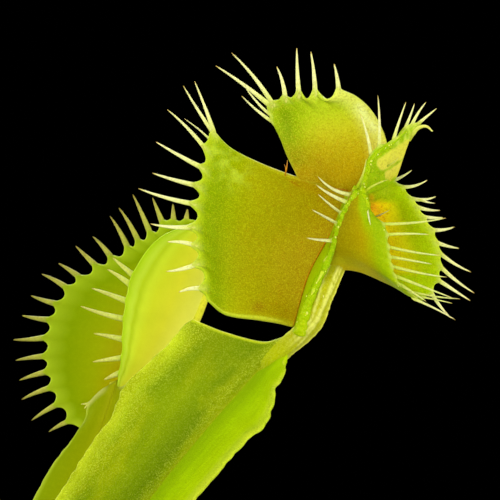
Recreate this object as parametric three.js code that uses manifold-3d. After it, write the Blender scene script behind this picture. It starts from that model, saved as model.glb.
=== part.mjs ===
// Potted Venus flytrap: a plain pot, its soil, the crown and one mesh for each leaf.
// Millimetres, +Z up. The origin is the middle of the pot's underside.
import * as THREE from "three";
import { mergeVertices } from "three/addons/utils/BufferGeometryUtils.js";
import Module from "manifold-3d";

const wasm = await Module();
wasm.setup();

// Driving dimensions.
const POT = {
  height: 80,
  rimRadius: 45,
  footRadius: 32,
  wall: 1.8,
  floor: 2.5,
  collarHeight: 13,
  collarStep: 1.6,
  holeRadius: 3.5,
  holeRing: 21,
  holes: 6,
  edge: 0.6, // bevel of the collar's edges
  footEdge: 0.8,
  sides: 32,
};
const GAP = 0.3; // between touching pieces
const SOIL_LEVEL = 71;
const SOIL_DOME = 1.5;
const SOIL_FLAT = 12; // radius of the level middle
const CROWN = { radius: 4.2, height: 4.5 };
const PLANT_HEIGHT = 74; // where the leaves' points are measured from
const LEAN = THREE.MathUtils.degToRad(8); // the tall leaves' plane leans back from upright

const LOBE = 0.9; // thickness of a trap's lobes
const WING = 0.8; // thickness of a petiole's wings
const CILIUM = 0.5; // half width of a cilium at its base
const SLIM_CILIUM = 0.4; // on the rosette's traps
const ROOTED = 0.5; // how far a cilium's base sits inside its margin

// Geometry helpers.

const vector = (p) => new THREE.Vector3(...p);

function curve(points) {
  return new THREE.CatmullRomCurve3(points.map(vector), false, "centripetal");
}

// A geometry as a manifold-3d solid.
function solid(geometry) {
  const bare = geometry.clone();
  bare.deleteAttribute("normal");
  bare.deleteAttribute("uv");
  const merged = mergeVertices(bare, 1e-4);
  return new wasm.Manifold(
    new wasm.Mesh({
      numProp: 3,
      vertProperties: new Float32Array(merged.attributes.position.array),
      triVerts: new Uint32Array(merged.index.array),
    }),
  );
}

function geometryOf(made) {
  const mesh = made.getMesh();
  const geometry = new THREE.BufferGeometry();
  geometry.setAttribute("position", new THREE.BufferAttribute(mesh.vertProperties, 3));
  geometry.setIndex(new THREE.BufferAttribute(mesh.triVerts, 1));
  geometry.computeVertexNormals();
  return geometry;
}

const weld = (geometries) => geometryOf(geometries.map(solid).reduce((a, b) => a.add(b)));

// A surface between four edge curves. hinge and margin run the same way, start and end lead
// from the hinge to the margin, and bulge lifts the middle toward +Z of the curves' frame.
function patch({ hinge, margin, start, end, bulge = 0 }) {
  const h = curve(hinge);
  const m = curve(margin);
  const lead = (a, b, along) => curve([a, ...(along ?? []), b]);
  const e0 = lead(hinge.at(0), margin.at(0), start);
  const e1 = lead(hinge.at(-1), margin.at(-1), end);
  const mix = (a, b, k) => a.clone().lerp(b, k);
  return (s, t) => {
    const across = mix(h.getPointAt(s), m.getPointAt(s), t);
    const along = mix(e0.getPointAt(t), e1.getPointAt(t), s);
    const corners = mix(
      mix(h.getPointAt(0), m.getPointAt(0), t),
      mix(h.getPointAt(1), m.getPointAt(1), t),
      s,
    );
    const point = across.add(along).sub(corners);
    point.z += bulge * 16 * s * (1 - s) * t * (1 - t);
    return point;
  };
}

// Two surfaces that share a hinge, as one surface with the hinge along its middle.
const pair = (one, other) => (s, t) => (t < 0.5 ? one(s, 1 - 2 * t) : other(s, 2 * t - 1));

// A surface given a thickness: two offset sheets and the rim that joins them.
function sheet(surface, thickness, [ns, nt]) {
  const positions = [];
  const index = [];
  const near = 0.02;
  const at = (side, i, j) => side * (ns + 1) * (nt + 1) + i * (nt + 1) + j;
  for (const side of [0.5, -0.5])
    for (let i = 0; i <= ns; i++)
      for (let j = 0; j <= nt; j++) {
        const [s, t] = [i / ns, j / nt];
        const ds = surface(Math.min(1, s + near), t).sub(surface(Math.max(0, s - near), t));
        const dt = surface(s, Math.min(1, t + near)).sub(surface(s, Math.max(0, t - near)));
        const normal = ds.cross(dt).normalize();
        positions.push(...surface(s, t).addScaledVector(normal, side * thickness).toArray());
      }
  const quad = (a, b, c, d) => index.push(a, b, c, a, c, d);
  for (let i = 0; i < ns; i++)
    for (let j = 0; j < nt; j++) {
      quad(at(0, i, j), at(0, i + 1, j), at(0, i + 1, j + 1), at(0, i, j + 1));
      quad(at(1, i, j), at(1, i, j + 1), at(1, i + 1, j + 1), at(1, i + 1, j));
    }
  for (let i = 0; i < ns; i++) {
    quad(at(0, i, 0), at(1, i, 0), at(1, i + 1, 0), at(0, i + 1, 0));
    quad(at(0, i + 1, nt), at(1, i + 1, nt), at(1, i, nt), at(0, i, nt));
  }
  for (let j = 0; j < nt; j++) {
    quad(at(0, 0, j + 1), at(1, 0, j + 1), at(1, 0, j), at(0, 0, j));
    quad(at(0, ns, j), at(1, ns, j), at(1, ns, j + 1), at(0, ns, j + 1));
  }
  const geometry = new THREE.BufferGeometry();
  geometry.setAttribute("position", new THREE.Float32BufferAttribute(positions, 3));
  geometry.setIndex(index);
  return geometry;
}

// A round bar along points, with a radius at each of them.
function bar(points, radii, sides = 6, steps = 3 * (points.length - 1)) {
  const path = curve(points);
  const frames = path.computeFrenetFrames(steps);
  const positions = [];
  const index = [];
  for (let i = 0; i <= steps; i++) {
    const place = (i / steps) * (radii.length - 1);
    const k = Math.min(Math.floor(place), radii.length - 2);
    const radius = THREE.MathUtils.lerp(radii[k], radii[k + 1], place - k);
    const centre = path.getPointAt(i / steps);
    for (let j = 0; j < sides; j++) {
      const angle = (2 * Math.PI * j) / sides;
      const point = centre
        .clone()
        .addScaledVector(frames.normals[i], radius * Math.cos(angle))
        .addScaledVector(frames.binormals[i], radius * Math.sin(angle));
      positions.push(...point.toArray());
    }
  }
  for (let i = 0; i < steps; i++)
    for (let j = 0; j < sides; j++) {
      const [a, b] = [i * sides + j, i * sides + ((j + 1) % sides)];
      index.push(a, b, b + sides, a, b + sides, a + sides);
    }
  for (let j = 1; j < sides - 1; j++) {
    const last = steps * sides;
    index.push(0, j + 1, j, last, last + j, last + j + 1);
  }
  const geometry = new THREE.BufferGeometry();
  geometry.setAttribute("position", new THREE.Float32BufferAttribute(positions, 3));
  geometry.setIndex(index);
  return geometry;
}

// A cilium: a four-sided spike from a point of the margin to its tip.
function spike(base, tip, radius = CILIUM) {
  const way = tip.clone().sub(base);
  const height = way.length() + ROOTED;
  way.normalize();
  const geometry = new THREE.ConeGeometry(radius, height, 4, 1, false);
  geometry.translate(0, height / 2 - ROOTED, 0);
  geometry.applyQuaternion(
    new THREE.Quaternion().setFromUnitVectors(new THREE.Vector3(0, 1, 0), way),
  );
  geometry.translate(...base.toArray());
  return geometry;
}

// Cilia along a margin. Each is [base right, base up, tip right, tip up]. Its base is the
// margin's nearest point, and its tip stands lift nearer to +Z than its base.
function fringe(margin, cilia, lift) {
  const places = curve(margin).getSpacedPoints(80);
  return cilia.map(([baseX, baseY, tipX, tipY]) => {
    const off = (p) => Math.hypot(p.x - baseX, p.y - baseY);
    const base = places.reduce((a, b) => (off(b) < off(a) ? b : a));
    return spike(base, new THREE.Vector3(tipX, tipY, base.z + lift));
  });
}

// The tall leaves. Points are [right, up, near]: millimetres from the crown in a plane that
// faces the front and leans back by LEAN, and toward the front.

// The front leaf's trap is double: its three far lobes A, B and E open toward the front,
// and the near lobes F, D and G close over its middle.
const MIDDLE = [50.2, 74.1, 5];
const HUB = [52.6, 74.1, 2];
const FOLD_END = [60.9, 58.3, 5.6]; // where lobes D and E part

const LOBE_A = {
  hinge: [MIDDLE, [48.1, 68.4, 4], [44.9, 62.4, 4], [43.2, 57, 5], [42.6, 54.4, 6]],
  margin: [
    [30.3, 83.4, 8],
    [29.2, 77.9, 7.6],
    [28.1, 71.7, 6.6],
    [28.2, 65.7, 6.8],
    [29.5, 58.5, 8.2],
  ],
  start: [[46.5, 75.9, 4.6], [42.4, 77.5, 4.6], [37.5, 79.2, 5.4]],
  end: [[37.5, 55.7, 5.4], [32.2, 56.6, 6.6]],
  bulge: -2.2,
};
const CILIA_A = [
  [30.3, 83.4, 27.7, 91.1],
  [30.1, 83, 26, 90.4],
  [29.8, 82.1, 23.8, 86.9],
  [29.4, 78.6, 22, 82.1],
  [28.3, 75.8, 21.5, 77.4],
  [27.9, 73, 19.4, 75],
  [27.8, 70, 21.2, 69.9],
  [28.1, 66.6, 23.7, 67.2],
  [28.3, 64, 23.5, 62.8],
  [29.1, 60.4, 25.4, 59.7],
];

const LOBE_B = {
  hinge: [[42.4, 77.5, 4.6], [46.5, 75.9, 4.6], MIDDLE, [54.1, 75, 2]],
  margin: [
    [38.9, 85.3, 6.5],
    [39, 88.5, 7],
    [42.1, 88.5, 6.6],
    [46, 88.7, 6.4],
    [50.1, 89.5, 6.2],
  ],
  start: [[41.5, 80.7, 4.2]],
  end: [[56.5, 78.9, 2.6], [56.6, 82.2, 3.4], [54.9, 86.2, 5]],
  bulge: -2,
};
const CILIA_B = [
  [39, 85.4, 34.8, 89],
  [39, 86.7, 35.1, 90.4],
  [38.5, 88.2, 30.9, 93.4],
  [39, 88.7, 33.3, 95.4],
  [41.2, 88.4, 40, 93.4],
  [43.2, 89, 43, 96.2],
  [45.8, 89.1, 45.1, 95.6],
  [49.5, 89.4, 48.6, 93.8],
];

const RIDGE = [
  [43.4, 53.5, 7.2],
  [45.3, 59.4, 8.4],
  [47.8, 64.8, 9.8],
  [49.7, 70.9, 11.4],
  [51.8, 74.7, 12],
];
const LOBE_F = { hinge: [...LOBE_A.hinge].reverse(), margin: RIDGE };
const CILIA_F = [
  [50.9, 74.3, 46.1, 76.9],
  [50.4, 73.1, 45.8, 75.7],
  [49.5, 71.4, 46.1, 74.3],
  [48.8, 69.9, 45.2, 72],
  [48.2, 67.5, 44.4, 67.8],
];

const LOBE_D = {
  hinge: [[51.2, 74.5, 11.8], [49.7, 70.9, 11.2], [48.3, 66.8, 10], [48.7, 63.8, 8.2]],
  margin: [
    [52.2, 74.5, 11.6],
    [54, 71.7, 11],
    [56.5, 68.7, 10.4],
    [57.6, 64.2, 9.4],
    [61.2, 58.2, 6.2],
  ],
  end: [[52.4, 62.7, 7.6], [57.2, 60.4, 6.8]],
  bulge: 1,
};
const CILIA_D = [
  [55.7, 69.8, 65, 70.6],
  [56.9, 68, 62.5, 68.2],
  [57.7, 66.3, 64.1, 65.1],
  [57.6, 64.8, 62.9, 63.9],
  [57.4, 63.6, 65.3, 61.9],
  [58, 61.8, 65.9, 59.1],
  [58.1, 60.8, 62.2, 58.4],
  [60.1, 59.2, 67.4, 58.7],
  [60.7, 58.7, 66.3, 58],
];

const LOBE_E = {
  hinge: [HUB, [51.1, 70.2, 2], [50, 67, 2.6], [50.5, 64, 4.6], [55, 61.2, 5.4], FOLD_END],
  margin: [
    [57.9, 76.6, 3.6],
    [60.6, 73.3, 4.6],
    [63, 69.4, 4.8],
    [64.5, 64.8, 4.8],
    [63.4, 60.3, 5],
    [61.9, 58.4, 5.2],
  ],
  start: [[55.6, 75.6, 2.8]],
  bulge: -2,
};
const CILIA_E = [
  [57.6, 76.6, 60.4, 78],
  [59.1, 75.6, 62.7, 76.5],
  [60.4, 73.8, 63.9, 74],
  [61.5, 72.3, 64.5, 72],
  [62.5, 71, 65.1, 70.8],
  [63.6, 69, 66.6, 69.5],
  [64, 66.9, 67.3, 66.3],
  [64.5, 65.1, 69.1, 62.7],
  [64.8, 62.8, 69.6, 59.5],
  [64.3, 61.5, 69, 58.5],
  [63.3, 59.7, 66.8, 55.5],
];

const LOBE_G = {
  hinge: [[52.1, 74.2, 10.6], [55, 75.2, 6.4], [57.7, 76.2, 3.2]],
  margin: [
    [51.7, 74.9, 11.8],
    [52.7, 77.9, 10.4],
    [54.2, 80.6, 9.6],
    [56.6, 81.9, 9],
    [61.4, 84.6, 8],
  ],
  end: [[58.6, 79, 5], [59.2, 81, 6.2]],
  bulge: 0.6,
};
const CILIA_G = [
  [54, 80.1, 52.3, 86],
  [55.3, 81.4, 54.8, 89],
  [57.5, 82.4, 59.2, 87.8],
  [58.9, 83.1, 60.4, 87.6],
  [59.9, 84, 62, 88],
  [61, 84.7, 63.7, 86.9],
  [61.3, 84.4, 63.2, 83.6],
];

const STALK = [
  [35, 45, 4.6],
  [41, 50.6, 5.6],
  [45.3, 55.2, 6.6],
  [48.5, 61.8, 7.4],
  [49.9, 65.6, 6.6],
  [51.4, 70.5, 4],
  [52.7, 74.4, 2.6],
];
const STALK_RADII = [0.6, 1.6, 1.6, 1.6, 1.4, 1.2, 0.9];

const PETIOLE = {
  rib: [
    [4.3, -1.5, 2.5],
    [7.4, 6.3, 3],
    [13.1, 16.9, 3.5],
    [21.4, 28.7, 4],
    [30, 39.3, 4.5],
    [38.1, 48.4, 5],
    [41.7, 52.8, 5.5],
  ],
  left: [
    [3.3, -1, 3],
    [1.6, 9, 4.5],
    [3.7, 22.6, 6],
    [11.3, 35, 6.4],
    [16.6, 44.2, 6.4],
    [22.9, 51, 6.2],
    [27.4, 55.4, 6],
  ],
  top: [[38.8, 52.4, 5.4], [34.5, 52.9, 5.4], [30.9, 54.1, 5.6]],
  right: [
    [5.3, -1.2, 3],
    [9.5, 3.5, 5],
    [15.6, 11.8, 8.5],
    [28, 29, 12.5],
    [34, 35.8, 13],
    [38.7, 40.8, 12],
    [40.8, 46.5, 9.5],
    [41.6, 49.3, 7],
  ],
};

// The back leaf, with an ordinary trap of two lobes.
const BACK_HINGE = [
  [14.2, 42.4, -17],
  [20.4, 45.4, -18],
  [25.4, 50.4, -19],
  [29.3, 58.9, -20],
  [30, 65.5, -20.5],
  [28.6, 69.8, -21],
];
const BACK_NEAR = {
  hinge: BACK_HINGE,
  margin: [
    [14.9, 43.6, -16],
    [16, 49.7, -13],
    [16.3, 55.3, -12],
    [17.9, 62.4, -12.5],
    [21.8, 67.9, -15.5],
    [28.1, 70.4, -19.8],
  ],
  bulge: 3,
};
const CILIA_BACK_NEAR = [
  [16.3, 46.9, 13.4, 45.9],
  [16.2, 49.4, 11.7, 48.7],
  [16.2, 52.2, 11.9, 53.1],
  [16.5, 55.3, 9.9, 57.3],
  [17, 58.1, 11.6, 60.1],
  [17.5, 60.6, 14, 63],
  [17.9, 62.1, 14.8, 64.8],
];
const BACK_FAR = {
  hinge: BACK_HINGE,
  margin: [
    [9.6, 40, -18.5],
    [5.3, 45.6, -22],
    [4.7, 52.6, -24],
    [7.9, 60, -25],
    [14.8, 64.7, -25.5],
    [20.2, 67.6, -25],
    [27.2, 70.4, -22.6],
  ],
  bulge: -3,
};
const CILIA_BACK_FAR = [
  [8.1, 39.9, 4.4, 37.6],
  [6.4, 42.3, 1.9, 39.4],
  [5.5, 44.8, 0.3, 42.6],
  [4.7, 47.2, -0.1, 45.6],
  [4.3, 49.4, -0.7, 48.7],
  [4.6, 52.3, -1.1, 51.9],
  [5.1, 55, 0.2, 55.7],
  [6.1, 57.4, 1.6, 58.8],
  [7.9, 59.7, 3.3, 62.2],
  [9.7, 61.6, 5.9, 63.9],
  [12.1, 63.5, 8.6, 66.6],
  [14.6, 64.4, 11.3, 68.1],
  [17.2, 65.5, 14, 71.3],
  [18.8, 66.6, 15.4, 72.6],
  [20.3, 67.4, 17.5, 74.6],
  [22, 70, 20.7, 74.2],
  [23.8, 70.2, 23.9, 73.2],
  [25.9, 70.4, 26.2, 72.4],
];
const BACK_PETIOLE = {
  rib: [
    [1.6, -0.9, -5.6],
    [3.6, 6.8, -7],
    [7.3, 20.8, -11],
    [11.2, 33, -14.5],
    [14.7, 42.8, -17],
  ],
  left: [
    [0.5, -0.6, -5.4],
    [-1.1, 6.9, -6.4],
    [0.8, 20.9, -9.5],
    [5.3, 32.4, -13],
    [9.7, 39.7, -16],
  ],
  top: [[11.8, 43.4, -16.4]],
  right: [
    [2.8, -0.6, -5.4],
    [5.9, 6.9, -6.4],
    [11.4, 19.4, -9],
    [17.1, 31, -12.5],
    [19.5, 40.7, -15.5],
  ],
};

function blade({ rib, left, top, right }) {
  const leftWing = patch({ hinge: rib, margin: left, end: top });
  return pair(leftWing, patch({ hinge: rib, margin: right }));
}

function frontLeaf() {
  const { rib } = PETIOLE;
  return weld([
    sheet(blade(PETIOLE), WING, [10, 4]),
    bar(rib, [1.2, 1.3, 1.3, 1.2, 1.2, 1.3, 1.5], 5, 8),
    bar(STALK, STALK_RADII, 6, 10),
    sheet(patch(LOBE_A), LOBE, [7, 5]),
    sheet(patch(LOBE_B), LOBE, [6, 5]),
    sheet(patch(LOBE_F), LOBE, [7, 1]),
    sheet(patch(LOBE_D), LOBE, [5, 3]),
    sheet(patch(LOBE_E), LOBE, [7, 4]),
    sheet(patch(LOBE_G), LOBE, [5, 2]),
    ...fringe(LOBE_A.margin, CILIA_A, 2),
    ...fringe(LOBE_B.margin, CILIA_B, 0.5),
    ...fringe(RIDGE, CILIA_F, -0.5),
    ...fringe(LOBE_D.margin, CILIA_D, -0.5),
    ...fringe(LOBE_E.margin, CILIA_E, 0.8),
    ...fringe(LOBE_G.margin, CILIA_G, 1),
  ]);
}

function backLeaf() {
  const { rib } = BACK_PETIOLE;
  return weld([
    sheet(blade(BACK_PETIOLE), WING, [7, 2]),
    bar(rib, [1.2, 1.3, 1.3, 1.3, 1.5], 5, 5),
    bar(BACK_HINGE, [1.3, 1.2, 1.1, 1, 0.9, 0.7], 5, 6),
    sheet(pair(patch(BACK_NEAR), patch(BACK_FAR)), LOBE, [7, 8]),
    ...fringe(BACK_NEAR.margin, CILIA_BACK_NEAR, -0.5),
    ...fringe(BACK_FAR.margin, CILIA_BACK_FAR, 1),
  ]);
}

// The rest of the rosette. A leaf runs out along +X and up. reach is the petiole's length on
// the ground, rise its height, width its half width, and trap the trap's length. open is the
// half angle between the lobes, and tilt the trap's slope.
const ROSETTE = [
  { name: "leaf_left", turn: 176, reach: 30, rise: 33, width: 6.5, trap: 21, open: 32, tilt: 48 },
  { name: "leaf_left_low", turn: 210, reach: 30, rise: 11, width: 6, trap: 17, open: 40, tilt: 8 },
  { name: "leaf_front_low", turn: 248, reach: 25, rise: 10, width: 5.5, trap: 15, open: 36, tilt: 14 },
  { name: "leaf_right_low", turn: 294, reach: 29, rise: 11, width: 6, trap: 18, open: 42, tilt: 10 },
  { name: "leaf_rear_right", turn: 28, reach: 25, rise: 9, width: 5.5, trap: 13, open: 30, tilt: 12 },
  { name: "leaf_rear", turn: 110, reach: 27, rise: 11, width: 6, trap: 17, open: 38, tilt: 14 },
  { name: "leaf_rear_left", turn: 143, reach: 24, rise: 9, width: 5, trap: 12, open: 24, tilt: 22 },
];
const ROSETTE_START = 5; // from the crown's middle
const ROSETTE_SINK = 1.6; // the petiole's base, below the leaves' level
const ROSETTE_CILIA = 7; // on each lobe
// Petiole stations: shares of its reach, rise and half width, and the wings' height over the rib.
const STATIONS = [
  [0.3, 0.34, 0.55, 1.2],
  [0.68, 0.78, 1, 2],
];
const WING_START = { width: 1.2, lift: 0.3 };
const WING_END = { back: 0.06, width: 0.62, lift: 1 };
const NECK = 0.6; // from the petiole to the trap
// Shares of a rosette trap's length.
const LOBE_REACH = 0.56; // a lobe's width at its middle
const LOBE_ENDS = 0.1; // and at its ends
const LOBE_CUP = 0.1; // how far a lobe bellies out
const LOBE_ROUNDNESS = 0.7; // below 1 fills out the lobe's ends
const HINGE_SAG = 0.1;
const CILIUM_REACH = 0.3;
const CILIA_FAN = 0.5; // how far the end cilia lean along the trap
const CILIA_INSET = 0.08; // the first and last cilium, from the lobe's ends

function rosetteLeaf({ reach, rise, width, trap, open, tilt }) {
  const far = ROSETTE_START + reach;
  const rib = [
    [ROSETTE_START, 0, -ROSETTE_SINK],
    ...STATIONS.map(([out, up]) => [ROSETTE_START + reach * out, 0, rise * up]),
    [far, 0, rise],
  ];
  const wing = (side) => [
    [ROSETTE_START, side * WING_START.width, WING_START.lift - ROSETTE_SINK],
    ...STATIONS.map(([out, up, wide, lift]) => [
      ROSETTE_START + reach * out,
      side * width * wide,
      rise * up + lift,
    ]),
    [far - reach * WING_END.back, side * width * WING_END.width, rise + WING_END.lift],
  ];
  const slope = THREE.MathUtils.degToRad(tilt);
  const spread = THREE.MathUtils.degToRad(open);
  const along = new THREE.Vector3(Math.cos(slope), 0, Math.sin(slope));
  const above = new THREE.Vector3(-Math.sin(slope), 0, Math.cos(slope));
  const foot = new THREE.Vector3(far + NECK, 0, rise);
  // A point of the trap: share of its length, height above its hinge and the side it is on.
  const place = (share, height, side) => {
    const sag = trap * HINGE_SAG * (1 - (2 * share - 1) ** 2);
    return foot
      .clone()
      .addScaledVector(along, share * trap)
      .addScaledVector(above, height * Math.cos(spread) - sag)
      .add(new THREE.Vector3(0, side * height * Math.sin(spread), 0));
  };
  const hinge = [0, 0.25, 0.5, 0.75, 1].map((k) => place(k, 0, 1).toArray());
  const height = (share) => {
    const rounded = Math.sin(Math.PI * share) ** LOBE_ROUNDNESS;
    return trap * (LOBE_ENDS + (LOBE_REACH - LOBE_ENDS) * rounded);
  };
  const lobes = [1, -1].map((side) => {
    const margin = [0, 0.2, 0.5, 0.8, 1].map((k) => place(k, height(k), side).toArray());
    const flat = patch({ hinge, margin });
    return (s, t) => {
      const point = flat(s, t);
      point.y += side * trap * LOBE_CUP * 4 * t * (1 - t) * Math.sin(Math.PI * s);
      return point;
    };
  });
  const wings = [1, -1].map((side) => patch({ hinge: rib, margin: wing(side) }));
  const neck = [rib.at(-2), rib.at(-1), foot.toArray(), place(0.12, 0, 1).toArray()];
  const pieces = [
    sheet(pair(...wings), WING, [5, 2]),
    sheet(pair(...lobes), LOBE, [6, 4]),
    bar(neck, [0.7, 1.1, 1.1, 0.8], 5, 5),
  ];
  for (const [k, side] of [1, -1].entries())
    for (let i = 0; i < ROSETTE_CILIA; i++) {
      const share = CILIA_INSET + ((1 - 2 * CILIA_INSET) * i) / (ROSETTE_CILIA - 1);
      const fan = (share - 0.5) * CILIA_FAN;
      const tip = place(share + fan, height(share) + trap * CILIUM_REACH, side);
      pieces.push(spike(lobes[k](share, 1), tip, SLIM_CILIUM));
    }
  return weld(pieces);
}

// The pot, its soil and the crown.

// Where the wall's inner face bends and ends, as radius and height.
function innerFace() {
  const { height, rimRadius, footRadius, wall, floor, collarHeight, collarStep, edge } = POT;
  return [
    [footRadius - wall, floor],
    [rimRadius - edge - collarStep - wall, height - collarHeight],
    [rimRadius - wall, height],
  ];
}

function potGeometry() {
  const { height, rimRadius, footRadius, floor, collarHeight, collarStep } = POT;
  const { edge, footEdge, sides } = POT;
  const shoulder = rimRadius - collarStep - edge;
  const profile = [
    [0, 0],
    [footRadius - footEdge, 0],
    [footRadius, footEdge],
    [shoulder, height - collarHeight],
    [shoulder + collarStep, height - collarHeight + edge],
    [rimRadius, height - edge],
    [rimRadius - edge, height],
    ...innerFace().reverse(),
    [0, floor],
  ].map(([r, z]) => new THREE.Vector2(r, z));
  let made = solid(new THREE.LatheGeometry(profile, sides).rotateX(Math.PI / 2));
  for (let k = 0; k < POT.holes; k++) {
    const angle = (2 * Math.PI * k) / POT.holes;
    const hole = new THREE.CylinderGeometry(POT.holeRadius, POT.holeRadius, 4 * floor, 12)
      .rotateX(Math.PI / 2)
      .translate(POT.holeRing * Math.cos(angle), POT.holeRing * Math.sin(angle), 0);
    made = made.subtract(solid(hole));
  }
  return geometryOf(made);
}

// The radius of the pot's inner face at a height.
function innerRadius(z) {
  const [low, bend, top] = innerFace();
  const [a, b] = z < bend[1] ? [low, bend] : [bend, top];
  return THREE.MathUtils.mapLinear(z, a[1], b[1], a[0], b[0]);
}

function soilGeometry() {
  const bottom = POT.floor + GAP;
  const bend = POT.height - POT.collarHeight;
  const brim = SOIL_LEVEL - SOIL_DOME;
  const edge = innerRadius(brim) - GAP;
  const profile = [
    [0, bottom],
    [innerRadius(bottom) - GAP, bottom],
    [innerRadius(bend) - GAP, bend],
    [edge, brim],
    [(edge + SOIL_FLAT) / 2, SOIL_LEVEL - SOIL_DOME / 4],
    [SOIL_FLAT, SOIL_LEVEL],
    [0, SOIL_LEVEL],
  ].map(([r, z]) => new THREE.Vector2(r, z));
  return new THREE.LatheGeometry(profile, POT.sides).rotateX(Math.PI / 2);
}

function crownGeometry() {
  const foot = SOIL_LEVEL + GAP;
  const profile = [new THREE.Vector2(0, foot)];
  const steps = 6;
  for (let k = 0; k < steps; k++) {
    const angle = (Math.PI / 2) * (k / steps);
    profile.push(
      new THREE.Vector2(CROWN.radius * Math.cos(angle), foot + CROWN.height * Math.sin(angle)),
    );
  }
  profile.push(new THREE.Vector2(0, foot + CROWN.height));
  return new THREE.LatheGeometry(profile, 16).rotateX(Math.PI / 2);
}

// Materials.
const leafGreen = new THREE.MeshStandardMaterial({ color: 0x9fb414, roughness: 0.45, metalness: 0 });
const backGreen = new THREE.MeshStandardMaterial({ color: 0xb9c22a, roughness: 0.5, metalness: 0 });
const youngGreen = new THREE.MeshStandardMaterial({ color: 0x8fa81c, roughness: 0.5, metalness: 0 });
const crownGreen = new THREE.MeshStandardMaterial({ color: 0xc3c878, roughness: 0.6, metalness: 0 });
const peat = new THREE.MeshStandardMaterial({ color: 0x3b2819, roughness: 0.95, metalness: 0 });
const plastic = new THREE.MeshStandardMaterial({ color: 0xa4512c, roughness: 0.55, metalness: 0 });

function mesh(name, geometry, material) {
  const made = new THREE.Mesh(geometry, material);
  made.name = name;
  return made;
}

// Assembly.
const plant = new THREE.Group();
plant.position.z = PLANT_HEIGHT;

const tallLeaves = new THREE.Group();
tallLeaves.rotation.x = Math.PI / 2 - LEAN;
tallLeaves.add(mesh("leaf_front", frontLeaf(), leafGreen));
tallLeaves.add(mesh("leaf_back", backLeaf(), backGreen));
plant.add(tallLeaves);

for (const leaf of ROSETTE) {
  const grown = mesh(leaf.name, rosetteLeaf(leaf), youngGreen);
  grown.rotation.z = THREE.MathUtils.degToRad(leaf.turn);
  plant.add(grown);
}

const flytrap = new THREE.Group();
flytrap.add(mesh("pot", potGeometry(), plastic));
flytrap.add(mesh("soil", soilGeometry(), peat));
flytrap.add(mesh("crown", crownGeometry(), crownGreen));
flytrap.add(plant);

export default flytrap;
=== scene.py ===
# Potted Venus flytrap: the looks of each leaf, the crown, the soil and the pot.
import math

import bmesh
import bpy
import numpy as np
from mathutils import Matrix, Vector, noise


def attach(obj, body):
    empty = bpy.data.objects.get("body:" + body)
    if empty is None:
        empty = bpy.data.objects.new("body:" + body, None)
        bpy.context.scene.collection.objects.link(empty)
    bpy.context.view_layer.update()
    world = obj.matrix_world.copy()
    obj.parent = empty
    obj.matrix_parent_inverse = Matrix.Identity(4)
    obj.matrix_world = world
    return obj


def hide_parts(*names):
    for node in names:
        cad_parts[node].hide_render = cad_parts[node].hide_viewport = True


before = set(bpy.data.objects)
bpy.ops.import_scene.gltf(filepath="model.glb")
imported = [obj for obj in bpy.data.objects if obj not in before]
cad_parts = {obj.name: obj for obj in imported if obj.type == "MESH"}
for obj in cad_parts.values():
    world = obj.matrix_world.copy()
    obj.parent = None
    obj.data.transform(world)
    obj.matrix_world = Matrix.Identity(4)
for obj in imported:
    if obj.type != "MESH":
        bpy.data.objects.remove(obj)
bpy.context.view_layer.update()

MM = 0.001
PLANT_HEIGHT = 74.0
LEAN = math.radians(8)
RIGHT = np.array([1.0, 0.0, 0.0])
UP = np.array([0.0, math.sin(LEAN), math.cos(LEAN)])
NEAR = np.array([0.0, -math.cos(LEAN), math.sin(LEAN)])


# ---- Camera ----

AIM = (36.0, 66.0, 5.0)  # right, up and near, in the tall leaves' plane
CAMERA_DISTANCE = 600.0
FRAME_WIDTH = 75.0  # mm across the picture at the aimed point
SENSOR = 36.0


def upright(points):
    """Points of the tall leaves' plane, in mm, as points of the row frame in metres."""
    p = np.asarray(points, float)
    world = p[..., 0:1] * RIGHT + p[..., 1:2] * UP + p[..., 2:3] * NEAR
    world[..., 2] += PLANT_HEIGHT
    return world * MM


def add_camera():
    data = bpy.data.cameras.new("camera")
    data.sensor_width = SENSOR
    data.lens = SENSOR * CAMERA_DISTANCE / FRAME_WIDTH
    data.clip_start = 0.01
    camera = bpy.data.objects.new("camera", data)
    bpy.context.scene.collection.objects.link(camera)
    place = upright([AIM[0], AIM[1], AIM[2] + CAMERA_DISTANCE])
    turn = Matrix((RIGHT, UP, NEAR)).transposed().to_4x4()
    camera.matrix_world = Matrix.Translation(Vector(place)) @ turn
    bpy.context.scene.camera = camera


add_camera()


# ---- Curves and surfaces ----


def curve(points, dense=40):
    """A centripetal Catmull-Rom curve as a function of the share of its length."""
    p = np.array(points, float)
    ext = np.vstack([2 * p[0] - p[1], p, 2 * p[-1] - p[-2]])
    runs = []
    k = np.linspace(0, 1, dense, endpoint=False)[:, None]
    for i in range(len(p) - 1):
        a, b, c, d = ext[i : i + 4]
        ab, bc, cd = (max(np.linalg.norm(y - x), 1e-6) ** 0.5 for x, y in ((a, b), (b, c), (c, d)))
        m1 = ((b - a) / ab - (c - a) / (ab + bc) + (c - b) / bc) * bc
        m2 = ((c - b) / bc - (d - b) / (bc + cd) + (d - c) / cd) * bc
        runs.append(
            (2 * k**3 - 3 * k**2 + 1) * b
            + (k**3 - 2 * k**2 + k) * m1
            + (3 * k**2 - 2 * k**3) * c
            + (k**3 - k**2) * m2
        )
    path = np.vstack([*runs, p[-1:]])
    steps = np.linalg.norm(np.diff(path, axis=0), axis=1)
    length = np.concatenate([[0], np.cumsum(steps)])
    total = length[-1]

    def at(s):
        x = np.asarray(s, float) * total
        return np.stack([np.interp(x, length, path[:, i]) for i in range(3)], axis=-1)

    at.length = total
    return at


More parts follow.
